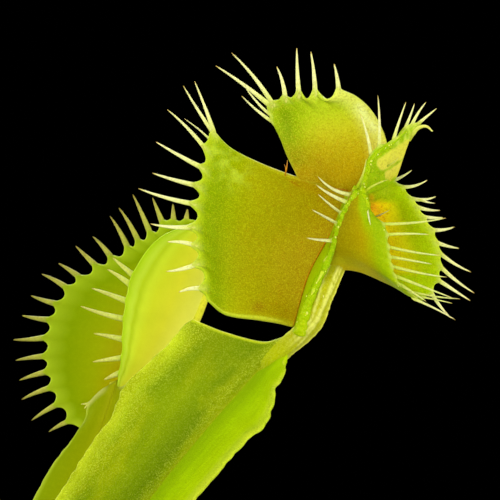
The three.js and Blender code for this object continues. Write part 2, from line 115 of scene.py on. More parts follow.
def patch(hinge, margin, start=(), end=(), bulge=0.0):
    """A surface between four edge curves, as a function of shares along and across."""
    h, m = curve(hinge), curve(margin)
    e0 = curve([hinge[0], *start, margin[0]])
    e1 = curve([hinge[-1], *end, margin[-1]])
    h0, h1 = h(0), h(1)
    m0, m1 = m(0), m(1)

    def at(s, t):
        s, t = np.broadcast_arrays(s, t)
        a, b = s[..., None], t[..., None]
        across = h(s) * (1 - b) + m(s) * b
        along = e0(t) * (1 - a) + e1(t) * a
        corners = (h0 * (1 - b) + m0 * b) * (1 - a) + (h1 * (1 - b) + m1 * b) * a
        points = across + along - corners
        points[..., 2] += bulge * 16 * s * (1 - s) * t * (1 - t)
        return points

    at.width = (curve([hinge[0], margin[0]]).length + curve([hinge[-1], margin[-1]]).length) / 2
    at.margin = m
    return at


def pair(one, other):
    """Two surfaces that share a hinge as one, with the hinge along its middle."""

    def at(s, t):
        s, t = np.broadcast_arrays(s, t)
        near = (t < 0.5)[..., None]
        return np.where(near, one(s, np.abs(1 - 2 * t)), other(s, np.abs(2 * t - 1)))

    return at


def unit(v):
    return v / np.maximum(np.linalg.norm(v, axis=-1, keepdims=True), 1e-9)


def smooth(x, low, high):
    k = np.clip((x - low) / (high - low), 0, 1)
    return k * k * (3 - 2 * k)


def spaced(*runs):
    """Places from 0 to 1 in runs, each given by its start and its number of places."""
    ends = [start for start, _ in runs[1:]] + [1]
    rows = [np.linspace(start, end, count, endpoint=end == 1) for (start, count), end in zip(runs, ends)]
    return np.concatenate(rows)


def circle(sides):
    """Angles once round, without the last."""
    return np.linspace(0, 2 * math.pi, sides, endpoint=False)


def spin(angle):
    """The matrix that turns a row of points about the z axis."""
    c, s = math.cos(angle), math.sin(angle)
    return np.array([[c, -s, 0], [s, c, 0], [0, 0, 1]]).T


def rough(points, size, seed=0.0):
    """Smooth noise from -1 to 1, with features of that size in mm."""
    flat = np.asarray(points, float).reshape(-1, 3) / size + seed * 7.3
    values = np.array([noise.noise(Vector(p)) for p in flat])
    return values.reshape(np.shape(points)[:-1])


# ---- Colours ----


def linear(rgb):
    c = np.array(rgb, float) / 255
    return np.where(c <= 0.04045, c / 12.92, ((c + 0.055) / 1.055) ** 2.4)


def ramp(x, stops):
    """Colour along a row of (place, (r, g, b)) stops."""
    x = np.asarray(x, float)
    places = [p for p, _ in stops]
    colours = np.array([linear(c) for _, c in stops])
    return np.stack([np.interp(x, places, colours[:, i]) for i in range(3)], axis=-1)


def blend(a, b, k):
    k = np.asarray(k, float)[..., None]
    return a * (1 - k) + b * k


def tint(rgb, colour, k):
    """Blends a colour given from 0 to 255 into rgb, by the share k."""
    return blend(rgb, linear(colour), k)


def hump(x, wide, middle=0.0):
    """1 at the middle, falling to almost nothing at twice that width."""
    return np.exp(-(((x - middle) / wide) ** 2))


def tone(rgb, speckle=0.0):
    """Colour and speckle strength as one array."""
    s = np.broadcast_to(np.asarray(speckle, float), rgb.shape[:-1])
    return np.concatenate([rgb, s[..., None]], axis=-1)


# ---- Pieces ----


class Piece:
    """One object that stands for one CAD node, built from closed shells."""

    def __init__(self, name, node, slot, materials, place):
        self.name, self.node, self.slot = name, node, slot
        self.materials, self.place = materials, place
        self.points, self.tones, self.faces, self.kinds = [], [], [], []
        self.count = 0

    def add(self, points, faces, tones, kind=0):
        points = np.asarray(points, float).reshape(-1, 3)
        self.points.append(points)
        self.tones.append(np.broadcast_to(tones, (len(points), 4)))
        self.faces += [tuple(int(v) + self.count for v in face) for face in faces]
        self.kinds += [kind] * len(faces)
        self.count += len(points)

    def finish(self):
        mesh = bpy.data.meshes.new(self.name)
        mesh.from_pydata(self.place(np.vstack(self.points)).tolist(), [], self.faces)
        mesh.polygons.foreach_set("use_smooth", [True] * len(self.faces))
        mesh.polygons.foreach_set("material_index", self.kinds)
        layer = mesh.attributes.new("tone", "FLOAT_COLOR", "POINT")
        layer.data.foreach_set("color", np.vstack(self.tones).astype(np.float32).ravel())
        for material in self.materials:
            mesh.materials.append(material)
        mesh.update()
        made = bpy.data.objects.new(self.name, mesh)
        bpy.context.scene.collection.objects.link(made)
        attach(made, "root")
        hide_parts(self.node)
        return made


def border(ns, nt):
    """The grid places round a sheet's edge, and for each the place one step inside it."""
    loop = [(i, 0) for i in range(ns)] + [(ns, j) for j in range(nt)]
    loop += [(i, nt) for i in range(ns, 0, -1)] + [(0, j) for j in range(nt, 0, -1)]
    inside = [(min(max(i, 1), ns - 1), min(max(j, 1), nt - 1)) for i, j in loop]
    return np.array(loop), np.array(inside)


def cells_of(rows, columns):
    """The row and column of every cell of a grid."""
    return (x.ravel() for x in np.meshgrid(np.arange(rows), np.arange(columns), indexing="ij"))


RIM_ANGLES = np.radians([30, 60, 90, 120, 150])


def sheet(piece, surface, s, t, thickness, tones, shift=None, lift=None, kind=0):
    """A closed sheet with a rounded rim. thickness, shift and lift take (s, t, points); lift gives
    how far the two faces stand out, and tones takes (s, t, points, side)."""
    grid_s, grid_t = np.meshgrid(s, t, indexing="ij")
    middle = surface(grid_s, grid_t)
    if shift is not None:
        middle = middle + shift(grid_s, grid_t, middle)
    normal = unit(np.cross(np.gradient(middle, axis=0), np.gradient(middle, axis=1)))
    half = thickness(grid_s, grid_t, middle) / 2
    up, down = lift(grid_s, grid_t, middle) if lift is not None else (0 * half, 0 * half)
    ns, nt = len(s) - 1, len(t) - 1
    loop, inside = border(ns, nt)
    rim = tuple(loop.T)
    edge, n = middle[rim], normal[rim]
    out = unit(edge - middle[tuple(inside.T)])
    out = unit(out - n * np.sum(out * n, axis=1, keepdims=True))
    h, rise, fall = (x[rim][:, None] for x in (half, up, down))
    top = middle + normal * (half + up)[..., None]
    bottom = middle - normal * (half + down)[..., None]
    rings = []
    for a in RIM_ANGLES:
        reach = np.where(math.cos(a) > 0, h + rise, h + fall) * math.cos(a)
        rings.append(edge + n * reach + out * h * math.sin(a))
    size = (ns + 1) * (nt + 1)
    at = lambda i, j: i * (nt + 1) + j
    i, j = cells_of(ns, nt)
    a, b, c, d = at(i, j), at(i + 1, j), at(i + 1, j + 1), at(i, j + 1)
    faces = [np.stack([a, b, c, d], 1), np.stack([a, d, c, b], 1) + size]
    around = at(*rim)
    rows = [around]
    rows += [2 * size + k * len(loop) + np.arange(len(loop)) for k in range(len(rings))]
    rows.append(around + size)
    for one, two in zip(rows, rows[1:]):
        faces.append(np.stack([one, two, np.roll(two, -1), np.roll(one, -1)], 1))
    sides = [tones(grid_s, grid_t, middle, side) for side in (1, -1)]
    rims = [blend(*(x[rim] for x in sides), a / math.pi) for a in RIM_ANGLES]
    points = np.vstack([top.reshape(-1, 3), bottom.reshape(-1, 3), *rings])
    colours = np.vstack([x.reshape(-1, 4) for x in sides] + rims)
    piece.add(points, np.vstack(faces), colours, kind)


def wall(rows, around):
    """The faces of a closed round body: rows of points, then the points that close its two ends."""
    k, j = cells_of(rows - 1, around)
    a, b = k * around + j, k * around + (j + 1) % around
    faces = np.stack([a, b, b + around, a + around], 1).tolist()
    first, last = rows * around, (rows - 1) * around
    faces += [(first, (m + 1) % around, m) for m in range(around)]
    return faces + [(first + 1, last + m, last + (m + 1) % around) for m in range(around)]


def frames(path):
    """Tangents and two cross directions that don't twist, for a row of points."""
    tangent = unit(np.gradient(path, axis=0))
    guide = NEAR_LOCAL if abs(tangent[0] @ NEAR_LOCAL) < 0.9 else RIGHT
    first = unit(np.cross(tangent[0], guide))
    ones = [first]
    for way in tangent[1:]:
        ones.append(unit(ones[-1] - way * (ones[-1] @ way)))
    ones = np.array(ones)
    return tangent, ones, np.cross(tangent, ones)


NEAR_LOCAL = np.array([0.0, 0.0, 1.0])
CAP = 0.6  # how far a tube's end stands out, in radii


def tube(piece, path, radius, tones, sides=14, kind=0):
    """A closed round bar along a row of points. radius is one number for each point and side."""
    tangent, one, two = frames(path)
    angle = circle(sides)[None, :, None]
    ring = np.cos(angle) * one[:, None] + np.sin(angle) * two[:, None]
    radius = np.broadcast_to(radius, (len(path), sides))
    points = path[:, None] + ring * radius[..., None]
    caps = np.array([
        path[0] - tangent[0] * radius[0].mean() * CAP,
        path[-1] + tangent[-1] * radius[-1].mean() * CAP,
    ])
    shades = tones(np.linspace(0, 1, len(path)))
    shades = np.broadcast_to(shades.reshape(len(path), -1, 4), (len(path), sides, 4))
    colours = np.vstack([shades.reshape(-1, 4), shades[0, :1], shades[-1, :1]])
    piece.add(np.vstack([points.reshape(-1, 3), caps]), wall(len(path), sides), colours, kind)


def bar(points, steps):
    return curve(points)(np.linspace(0, 1, steps))


def stem(piece, points, steps, widths, stops, sides=14):
    """A tube along a curve. widths and stops are rows of (place, radius) and (place, colour)."""
    radius = np.interp(np.linspace(0, 1, steps), *zip(*widths))[:, None]
    tube(piece, bar(points, steps), radius, lambda x: tone(ramp(x, stops)), sides)


# ---- Cilia ----

CILIUM_TONES = [
    (0.0, (200, 208, 104)), (0.12, (210, 216, 136)), (0.36, (219, 222, 168)), (0.9, (218, 218, 168)),
    (0.97, (214, 202, 130)), (1.0, (196, 164, 90)),
]


def spike(piece, base, tip, radius=0.4, bow=0.0, flat=0.62, face=NEAR_LOCAL, stops=CILIUM_TONES,
          root=0.55, rings=15, sides=10):
    """A cilium: a curved tapering horn that grows out from inside the margin to its tip."""
    base, tip = np.asarray(base, float), np.asarray(tip, float)
    way = tip - base
    length = np.linalg.norm(way)
    way = way / length
    side = unit(np.cross(way, face))
    through = np.cross(side, way)
    x = np.concatenate([[-root / length, -root / 2 / length], np.linspace(0, 1, rings) ** 0.9])
    clear = np.clip(x, 0, 1)
    path = base + way * (x * length)[:, None]
    path = path + side * (bow * length * 4 * clear * (1 - clear))[:, None]
    size = radius * (0.17 + 0.83 * (1 - clear) ** 0.85)
    size[:2] *= (0.25, 0.7)
    size[-1] *= 0.55
    depth = 0.25 + (flat - 0.25) * smooth(x, 0, 0.22)  # the root is thin enough to lie in the sheet
    angle = circle(sides)[None, :, None]
    ring = np.cos(angle) * side + np.sin(angle) * depth[:, None, None] * through
    points = path[:, None] + ring * size[:, None, None]
    caps = np.array([path[0] - way * 0.1, path[-1] + way * size[-1]])
    shades = np.repeat(tone(ramp(clear, stops)), sides, axis=0)
    colours = np.vstack([shades, shades[:1], shades[-1:]])
    piece.add(np.vstack([points.reshape(-1, 3), caps]), wall(len(x), sides), colours)


def roots(surface, cilia, lift, height=2.1):
    """Where each cilium [base right, base up, tip right, tip up, and the scallop's height and the
    cilium's radius if they differ] stands on a margin: share, base, tip, direction, the scallop's
    height, the surface's normal and the radius."""
    s = np.linspace(0, 1, 601)
    places = surface.margin(s)
    found = []
    for bx, by, tx, ty, *own in cilia:
        k = int(np.argmin(np.hypot(places[:, 0] - bx, places[:, 1] - by)))
        base = places[k]
        tip = np.array([tx, ty, base[2] + lift])
        tall = own[0] if own else min(height, 0.32 * np.linalg.norm(tip - base))
        found.append((s[k], base, tip, unit(tip - base), tall, normal_at(surface, s[k]), *own[1:]))
    return found


def normal_at(surface, s):
    """A surface's normal at its margin."""
    low, high = max(0.0, s - 0.02), min(1.0, s + 0.02)
    along = surface(np.array(high), np.array(1.0)) - surface(np.array(low), np.array(1.0))
    across = surface(np.array(s), np.array(1.0)) - surface(np.array(s), np.array(0.95))
    return unit(np.cross(along, across))


def scallops(surface, found, spread=0.55, reach=1.1, soft=0.3):
    """Draws a sheet's margin out into each cilium, as a shift for sheet()."""
    margin, width = surface.margin, surface.width

    def shift(s, t, _):
        gap = np.abs(s[..., None] - np.array([f[0] for f in found])) * margin.length
        share = np.exp(-(np.sqrt(gap**2 + soft**2) - soft) / spread)
        share = share / np.maximum(1, share.sum(-1, keepdims=True))
        pull = share @ np.array([f[3] * f[4] for f in found])
        return pull * np.exp(-(1 - t) * width / reach)[..., None]

    return shift


def fringe(piece, found, bows, seed=0, radius=0.4, **look):
    """The cilia that stand on the scallops."""
    random = np.random.default_rng(seed)
    for k, (_, base, tip, way, height, face, *own) in enumerate(found):
        bow = bows[k] if k < len(bows) else random.uniform(-0.025, 0.025)
        size = own[0] if own else radius
        spike(piece, base + way * height * 0.72, tip, radius=size, bow=bow, face=face, **look)


# ---- Materials ----


class Nodes:
    """A material under way, and shorter ways to add its nodes."""

    def __init__(self, name):
        self.material = bpy.data.materials.new(name)
        self.material.use_nodes = True
        self.tree = self.material.node_tree
        self.tree.nodes.clear()
        self.where = self.add("ShaderNodeTexCoord").outputs["Object"]

    def add(self, kind, inputs=None, **settings):
        node = self.tree.nodes.new(kind)
        for key, value in settings.items():
            setattr(node, key, value)
        for key, value in (inputs or {}).items():
            if isinstance(value, bpy.types.NodeSocket):
                self.tree.links.new(value, node.inputs[key])
            else:
                node.inputs[key].default_value = value
        return node

    def finish(self, shader):
        self.add("ShaderNodeOutputMaterial", {"Surface": shader.outputs[0]})
        return self.material

    def skin(self, **inputs):
        named = {key.replace("_", " "): value for key, value in inputs.items()}
        return self.add("ShaderNodeBsdfPrincipled", named)

    def relief(self, strength, distance, height):
        inputs = {"Strength": strength, "Distance": distance, "Height": height}
        return self.add("ShaderNodeBump", inputs).outputs["Normal"]

    def maths(self, operation, a, b, clamp=False):
        node = self.add("ShaderNodeMath", {0: a, 1: b}, operation=operation, use_clamp=clamp)
        return node.outputs[0]

    def mapped(self, value, low, high, to_low=0.0, to_high=1.0):
        inputs = {"Value": value, "From Min": low, "From Max": high}
        inputs.update({"To Min": to_low, "To Max": to_high})
        return self.add("ShaderNodeMapRange", inputs).outputs["Result"]

    def mix(self, factor, a, b):
        return self.add("ShaderNodeMix", {0: factor, 6: a, 7: b}, data_type="RGBA").outputs[2]

    def noise(self, size, detail=3.0, roughness=0.5):
        """Noise whose features have that size in mm."""
        inputs = {"Vector": self.where, "Scale": 1000 / size, "Detail": detail, "Roughness": roughness}
        return self.add("ShaderNodeTexNoise", inputs).outputs["Fac"]

    def cells(self, size):
        """Distance from the middles of cells of that size in mm."""
        inputs = {"Vector": self.where, "Scale": 1000 / size}
        return self.add("ShaderNodeTexVoronoi", inputs).outputs["Distance"]


def rgba(rgb):
    return (*linear(rgb), 1.0)


LIT_THROUGH = 0.38  # the share of a leaf's light that comes from behind it


def leaf_material(name, pale, pale_size, dark, roughness, bump, shine=0.18, spotted=True,
                  cell=(228, 226, 30)):
    """Plant tissue: the piece's own tones with fine speckles, lit through. The tones' alpha is the
    strength of red glands on a trap's skin, and of pale cells on a blade's. pale and dark are the
    strengths of the light and the dim speckles, and cell is the light ones' colour. The light
    speckles are partly pale cells and partly painted sparkle highlights."""
    n = Nodes(name)
    own = n.add("ShaderNodeVertexColor", layer_name="tone")
    strength = own.outputs["Alpha"]
    broad = n.noise(4.5, 2.0)
    fine = n.noise(0.34, 3.0, 0.65)
    grain = n.noise(pale_size, 2.0, 0.7)
    colour = n.mix(n.mapped(broad, 0.35, 0.7, 0, 0.12), own.outputs["Color"], rgba((140, 160, 0)))
    cells = n.mapped(grain, 0.47, 0.66, 0, pale)
    dim = n.mapped(fine, 0.48, 0.7, 0, dark)
    if spotted:
        colour = n.mix(dim, colour, rgba((120, 92, 0)))
        patchy = n.mapped(n.noise(1.6, 2.0), 0.35, 0.6)
        spots = n.maths("MULTIPLY", n.mapped(n.cells(0.42), 0.42, 0.14), patchy)
        spots = n.maths("MULTIPLY", spots, strength, clamp=True)
        colour = n.mix(spots, colour, rgba((190, 66, 0)))
    else:
        colour = n.mix(n.maths("MULTIPLY", dim, strength), colour, rgba((78, 104, 0)))
        cells = n.maths("MULTIPLY", cells, strength)
    # The pale speckles: partly the tissue's pale cells, partly painted sparkle highlights.
    colour = n.mix(cells, colour, rgba(cell))
    height = n.maths("ADD", n.maths("MULTIPLY", grain, 0.7), n.maths("MULTIPLY", broad, 0.6))
    normal = n.relief(bump, 0.00025, height)
    skin = n.skin(
        Base_Color=colour,
        Roughness=n.mapped(fine, 0.3, 0.75, roughness - 0.1, roughness + 0.14),
        Specular_IOR_Level=shine,
        Specular_Tint=(1.0, 1.0, 0.1, 1.0),
        Normal=normal,
    )
    glow = n.add("ShaderNodeBsdfTranslucent", {"Color": colour, "Normal": normal})
    lit = {0: LIT_THROUGH, 1: skin.outputs[0], 2: glow.outputs[0]}
    return n.finish(n.add("ShaderNodeMixShader", lit))


LEAF_MATERIALS = [
    leaf_material("trap_skin", pale=0.3, pale_size=0.2, dark=0.32, roughness=0.44, bump=0.4),
    leaf_material("blade_skin", pale=1.0, pale_size=0.2, dark=0.5, roughness=0.46, bump=1.0,
                  spotted=False, cell=(212, 224, 76)),
    leaf_material("ridge_skin", pale=0.3, pale_size=0.34, dark=0.15, roughness=0.24, bump=1.0, shine=0.4),
    leaf_material("calm_skin", pale=0.03, pale_size=0.5, dark=0.03, roughness=0.5, bump=0.05),
    leaf_material("grainy_skin", pale=0.28, pale_size=0.2, dark=0.42, roughness=0.42, bump=0.5,
                  cell=(236, 230, 62)),
    leaf_material("soft_skin", pale=0.16, pale_size=0.24, dark=0.2, roughness=0.46, bump=0.25),
]
TRAP, BLADE, RIDGED, CALM, GRAINY, SOFT = range(6)


# ---- The front leaf ----

MIDDLE = (50.2, 74.1, 5)
FOLD_END = (61, 58.8, 5.6)

HINGE_A = [MIDDLE, (48.1, 68.4, 4), (44.9, 62.4, 4), (43.2, 57, 5), (42.6, 54.75, 6)]
LOBE_A = patch(
    HINGE_A,
    [(30.8, 83.1, 8), (29.9, 81.6, 7.8), (29.8, 78, 7.6), (29.1, 73.8, 6.9), (28.7, 70.6, 6.6),
     (28.9, 66.5, 6.8), (29.5, 62.4, 7.4), (29.8, 58.5, 8.2)],
    start=[(46.3, 75.6, 4.6), (42.2, 76.9, 4.6), (37.2, 78.88, 5.4), (32.85, 81.2, 6.8)],
    end=[(40.3, 55.35, 5.7), (37.5, 55.8, 5.4), (32.2, 56.6, 6.6)],
    bulge=-2.2,
)
CILIA_A = [
    (30.8, 83.3, 27.75, 91.1, 0.8, 0.34), (30.3, 83.3, 26.1, 90.4, 0.8, 0.32),
    (29.8, 80.7, 23.7, 86.9, 1.3, 0.37), (29.3, 77.8, 22, 82.1, 1.7), (28.6, 75.4, 21.5, 77.45),
    (28.2, 72.6, 19.4, 75.15), (28.1, 69.3, 21.2, 69.9), (28.3, 66.5, 23.7, 67.2),
    (28.5, 64, 23.5, 62.8), (29.2, 60.4, 25.4, 59.7),
]

LOBE_B = patch(
    [(43.55, 76.6, 4.5), (46.3, 75.6, 4.4), (49.4, 74.3, 4.2), (54.1, 75, 2)],
    [(39.6, 84.8, 6.3), (39.2, 86.2, 6.8), (39.4, 87.2, 7), (40.3, 87.5, 7), (42, 87.6, 6.6),
     (46, 88, 6.4), (49.5, 88.6, 6.2)],
    start=[(42.9, 78.1, 4.7), (41.85, 80.3, 4.9), (40.7, 82.8, 5.6)],
    end=[(56.5, 78.9, 2.6), (56.2, 82.2, 3.2), (54.95, 85.4, 3.8), (53.4, 87.5, 4.4), (51.5, 88.7, 5.2)],
    bulge=-1.6,
)
CILIA_B = [
    (39.7, 85.1, 34.8, 89, 0.5, 0.28), (39.2, 86, 35.2, 90.5, 0.4, 0.26), (39.3, 87.4, 30.9, 93.5, 0.9),
    (39.7, 87.6, 33.3, 95.4, 0.9), (41.5, 88.2, 40, 93.4, 1.5), (43.3, 88.6, 43, 96.2),
    (45.8, 88.8, 45.1, 95.6), (49.5, 89.2, 48.6, 93.8),
]

RIDGE = [(43.4, 53.5, 7.2), (45.3, 59.4, 8.4), (47.8, 64.8, 9.8), (49.7, 70.9, 11.4), (51.8, 74.7, 12)]
LOBE_F = patch([(u + 0.35, v, w - 0.2) for u, v, w in HINGE_A[::-1]], RIDGE)
CILIA_F = [
    (50.9, 74.3, 46.1, 76.9), (50.4, 73.1, 45.8, 75.7), (49.5, 71.4, 46.1, 74.3),
    (48.8, 69.9, 45.2, 72), (48.2, 67.5, 44.4, 67.8),
]
STUBS_F = [(47.7, 65.1, 46.9, 64.3), (46.8, 62.7, 46, 61.2), (45.5, 60.1, 45.1, 59.3)]
# Cilia and hairs that stand apart: base, tip, radius, bow, kind of tones.
LOOSE = [
    ((30.3, 82.2, 7.4), (26.2, 85.6, 7), 0.18, 0.03, 0),
    ((56.2, 78.4, 7.6), (58.1, 79.7, 9), 0.2, 0.05, 2),
    ((52, 75.6, 12), (53.2, 79.5, 13), 0.2, 0.05, 2),
    ((53.2, 74.8, 11.8), (56.4, 76.4, 12.6), 0.2, -0.05, 2),
    ((53.4, 72, 11.6), (53.85, 69.7, 12.4), 0.19, 0.01, 0),
    ((60.6, 58.65, 6.6), (66.7, 55.55, 6.8), 0.22, -0.02, 0),
    ((61.6, 73.5, 5.2), (63.75, 73, 5.4), 0.19, 0.04, 0),
    ((41.3, 77.5, 5.2), (41.6, 79.5, 5.8), 0.12, 0.03, 1),
    ((41.3, 77.5, 5.2), (41.1, 78.9, 5.6), 0.1, 0.1, 1),
    ((50.6, 74.9, 6.6), (48.4, 75.1, 7), 0.12, 0.05, 1),
    ((50.2, 72.8, 6.4), (48.4, 74.2, 7), 0.12, 0.05, 1),
    ((52.6, 70.2, 4), (53.6, 71.6, 5.4), 0.1, 0.05, 1),
    ((54.8, 71, 6.6), (56.8, 71.95, 8.4), 0.13, 0.02, 0),
]

LOBE_D = patch(
    [(51.2, 74.5, 11.8), (49.7, 70.9, 11.2), (48.2, 66.6, 9.9), (48.2, 63.2, 7.2)],
    [(52.3, 74.9, 11.7), (53.2, 74.1, 11.5), (53.6, 72.9, 11.3), (53.8, 71.7, 11.1), (54.4, 70.9, 10.9),
     (55.7, 69.3, 10.5), (56.1, 67, 10.1), (56.5, 64.6, 9.5), (57, 62.9, 9), (57.9, 61.3, 8.2),
     (59.5, 59.8, 7.1), (61.3, 58.5, 6.2)],
    end=[(50.6, 63.35, 7.5), (52.6, 63, 7.5), (55.5, 61.75, 7.1), (57.9, 60.5, 6.8), (59.7, 59.4, 6.5)],
    bulge=1,
)
CILIA_D = [
    (55.4, 69.9, 65.1, 70.75), (56, 68.3, 62.6, 68.3), (56.4, 66.6, 64.2, 65.2),
    (56.6, 65.1, 63.1, 63.9), (56.9, 63.7, 65.3, 61.95), (57.4, 62.3, 66.3, 58.8),
    (58, 61.1, 62.3, 58.35), (59.4, 59.9, 67.4, 58.7), (60.3, 59.1, 66.3, 58),
]

FOLD_D = [(51.4, 74.6, 11.5), (52.7, 74.1, 11.5), (53.3, 73, 11.3), (53.5, 71.8, 11.1), (54.1, 70.9, 10.9),
          (55.4, 69.3, 10.5), (55.9, 67, 10.1), (56.3, 64.6, 9.5), (56.8, 62.9, 9), (57.7, 61.3, 8.2),
          (59.4, 59.8, 7.1)]

LOBE_E = patch(
    [(52.1, 74.2, 10), (51.7, 72.6, 6), (51, 70.3, 4.2), (50, 67, 4.2), (51, 64.6, 4.8),
     (55, 62.2, 5.4), (58.6, 60.6, 5.5), FOLD_END],
    [(57.3, 76.3, 3.6), (58.7, 75.2, 4.2), (60, 73.5, 4.6), (61, 72.1, 4.7), (62.2, 70.3, 4.8),
     (63.2, 68.5, 4.8), (63.8, 66.8, 4.8), (64.2, 64.7, 4.8), (64, 62.6, 4.9), (63.1, 60.5, 5),
     (61.9, 58.6, 5.2)],
    start=[(54.9, 75.1, 6)],
    bulge=-1.2,
)
CILIA_E = [
    (57.6, 76.7, 60.3, 78, 0.3), (58.8, 75.6, 62.6, 76.5, 0.6), (60.2, 73.85, 63.85, 74, 0.7),
    (60.9, 72.6, 64.5, 71.95, 0.7), (61.9, 71, 64.9, 70.85, 0.6), (63.1, 69, 66.6, 69.45, 0.7),
    (63.7, 67.2, 67.3, 66.25, 0.6), (64, 65.75, 69.1, 62.7, 0.9), (64.3, 63.75, 69.6, 59.55, 0.9),
    (64, 61.7, 69, 58.4, 0.9), (63, 60, 66.1, 55.8, 0.7),
]

LOBE_G = patch(
    [(52.1, 74.2, 10.6), (55, 75.2, 6.4), (57.5, 76.2, 3.2)],
    [(52.4, 74.7, 11.8), (52.9, 76.9, 10.9), (53.4, 79.2, 10), (54.5, 80.7, 9.5), (56.3, 81.7, 9),
     (57.9, 82.7, 8.6), (59.1, 84, 8.3), (61.2, 84.8, 8)],
    end=[(57.75, 77.2, 4), (58.25, 78.75, 4.9), (58.75, 80.25, 5.8), (59.3, 81.75, 6.8), (59.9, 83.2, 7.4)],
    bulge=0.6,
)
FOLD_G = [(52.7, 74.4, 11.4), (53.3, 77, 10.4), (53.8, 79, 9.8), (54.8, 80.4, 9.4), (56.6, 81.5, 8.9),
          (58, 82.5, 8.5), (59.4, 83.8, 8.2)]
CILIA_G = [
    (54.1, 80.1, 52.4, 86.2, 0.1), (55.2, 81.2, 55, 89, 0.4), (57.3, 82.4, 59.2, 88, 0.3),
    (59.1, 83.9, 60.5, 87.8, 0.4), (60, 84.4, 62.2, 88, 0.4), (60.9, 84.7, 63.8, 87.1, 0.4),
]

HOOK = [(59.9, 82.3, 7), (60.3, 83.3, 7.6), (60.8, 84, 8), (61.5, 84.4, 8.2), (62.4, 84.4, 8.4),
        (63.2, 83.7, 8.6)]
# Swellings where the lobes meet: place and size.
HUB_LUMPS = [((52.3, 74.9, 10.8), 0.8), ((53, 76.3, 10.2), 0.8), ((53.8, 78.2, 9.6), 0.8),
             ((53, 74.9, 9.4), 0.8), ((51.4, 73.6, 10.8), 0.6), ((54.4, 78.9, 8.9), 0.75),
             ((54.2, 77, 8.5), 0.9), ((55.5, 76.4, 7.2), 0.6), ((55.4, 80.6, 9.2), 0.45),
             ((56.9, 81.5, 8.9), 0.4), ((51.6, 74.8, 11.2), 0.65), ((52.6, 74.3, 11.4), 0.5)]
# The stalk, its radii at even places, and its fibres: angle and width in degrees, height in radii.
STALK = [(34, 43.6, 3.8), (40.1, 50.35, 5), (43.75, 53.55, 6.2), (45.55, 55.65, 6.9), (46.2, 57.4, 7.2),
         (47, 59.6, 7.4), (48, 61.8, 7.3), (49.1, 64, 6.8), (50.4, 66.6, 6.2)]
STALK_RADII = [0.4, 0.95, 1.5, 1.44, 1.5, 1.58, 1.58, 1.4, 0.7]
FIBRES = [(-8, 7, 0.1), (-48, 7, 0.08), (-78, 8, 0.1), (-112, 7, 0.07), (-150, 9, 0.1), (60, 12, 0.08),
          (120, 12, 0.08)]

RIB = [(4.3, -1.5, 2.5), (7.4, 6.3, 3), (13.1, 16.9, 3.5), (21.4, 28.7, 4), (30, 39.3, 4.5),
       (38.1, 48.4, 5), (42.2, 52.3, 5.3)]
BLADE_LEFT = patch(
    RIB,
    [(3.3, -1, 3), (1.6, 9, 4.5), (3.7, 22.6, 6), (7.1, 28.5, 6.2), (10.1, 33.2, 6.4),
     (13.1, 37.9, 6.4), (15.2, 40.5, 6.4), (16.7, 44.1, 6.4), (18.2, 46.5, 6.3), (20.5, 48.5, 6.2),
     (23, 51, 6.2), (25.2, 53.3, 6.1), (26.6, 54.8, 6), (27.4, 55.4, 6)],
    end=[(40.9, 52.65, 5.4), (39.8, 52.4, 5.4), (38.2, 52.05, 5.4), (34.5, 52.8, 5.4), (32.7, 53.35, 5.5),
         (30.9, 53.95, 5.6), (28.6, 54.9, 5.8)],
)
BLADE_RIGHT = patch(
    RIB,
    [(5.3, -1.2, 3), (9.5, 3.5, 5), (15.6, 11.8, 8.5), (22.2, 21.2, 11), (27.8, 29.2, 12.5),
     (30.1, 31.9, 12.8), (31.5, 33.5, 12.9), (33.3, 35.7, 13), (34.8, 37.2, 13), (36, 38.5, 12.8),
     (37.3, 39.3, 12.5), (38.3, 40.5, 12.2), (39.2, 42.7, 11.5), (39.4, 44.2, 10.8),
     (39.6, 45.4, 10), (40.6, 46.5, 9), (41.2, 48.1, 7.5), (40.9, 49, 7)],
)

TONES_A = [
    (0, (154, 126, 0)), (0.14, (152, 130, 0)), (0.4, (153, 145, 4)), (0.62, (154, 154, 4)),
    (0.76, (142, 157, 0)), (0.86, (126, 151, 0)), (0.95, (128, 156, 0)), (1, (164, 186, 24)),
]
TONES_B = [
    (0, (160, 130, 0)), (0.26, (172, 144, 2)), (0.46, (180, 164, 12)), (0.64, (186, 184, 30)),
    (0.8, (180, 196, 30)), (0.93, (182, 204, 36)), (1, (200, 216, 56)),
]
# Partly painted light: the orange towards the hinge is the lobe's own colour, made lighter to make up for the
# shade lobe D casts on it.
TONES_E = [
    (0, (240, 170, 14)), (0.42, (244, 198, 8)), (0.6, (228, 208, 8)), (0.7, (206, 200, 10)),
    (0.78, (170, 188, 0)), (0.9, (158, 186, 0)), (1, (190, 210, 40)),
]
TONES_D = [
    (0, (132, 118, 0)), (0.2, (146, 130, 0)), (0.5, (160, 142, 0)), (0.62, (156, 158, 0)),
    (0.78, (142, 172, 0)), (1, (160, 190, 4)),
]
CILIUM_TONES_D = [
    (0, (178, 202, 60)), (0.25, (204, 216, 112)), (0.9, (214, 220, 150)), (1, (200, 176, 100)),
]
TONES_F = [(0, (170, 174, 0)), (0.25, (162, 188, 0)), (0.7, (160, 198, 0)), (1, (160, 200, 4))]
TONES_G = [(0, (190, 190, 30)), (0.3, (220, 212, 80)), (0.75, (212, 210, 72)), (1, (140, 186, 10))]
OUTER_TONES = [(0, (190, 190, 40)), (0.5, (182, 192, 40)), (0.85, (150, 186, 14)), (1, (176, 204, 44))]
INNER_DOTS, OUTER_DOTS = 0.1, 0.04

ALONG = np.linspace(0, 1, 181)
ACROSS = spaced((0, 34), (0.8, 26))


def lobe_thickness(s, t, _):
    return 0.8 - 0.38 * smooth(t, 0.3, 1)


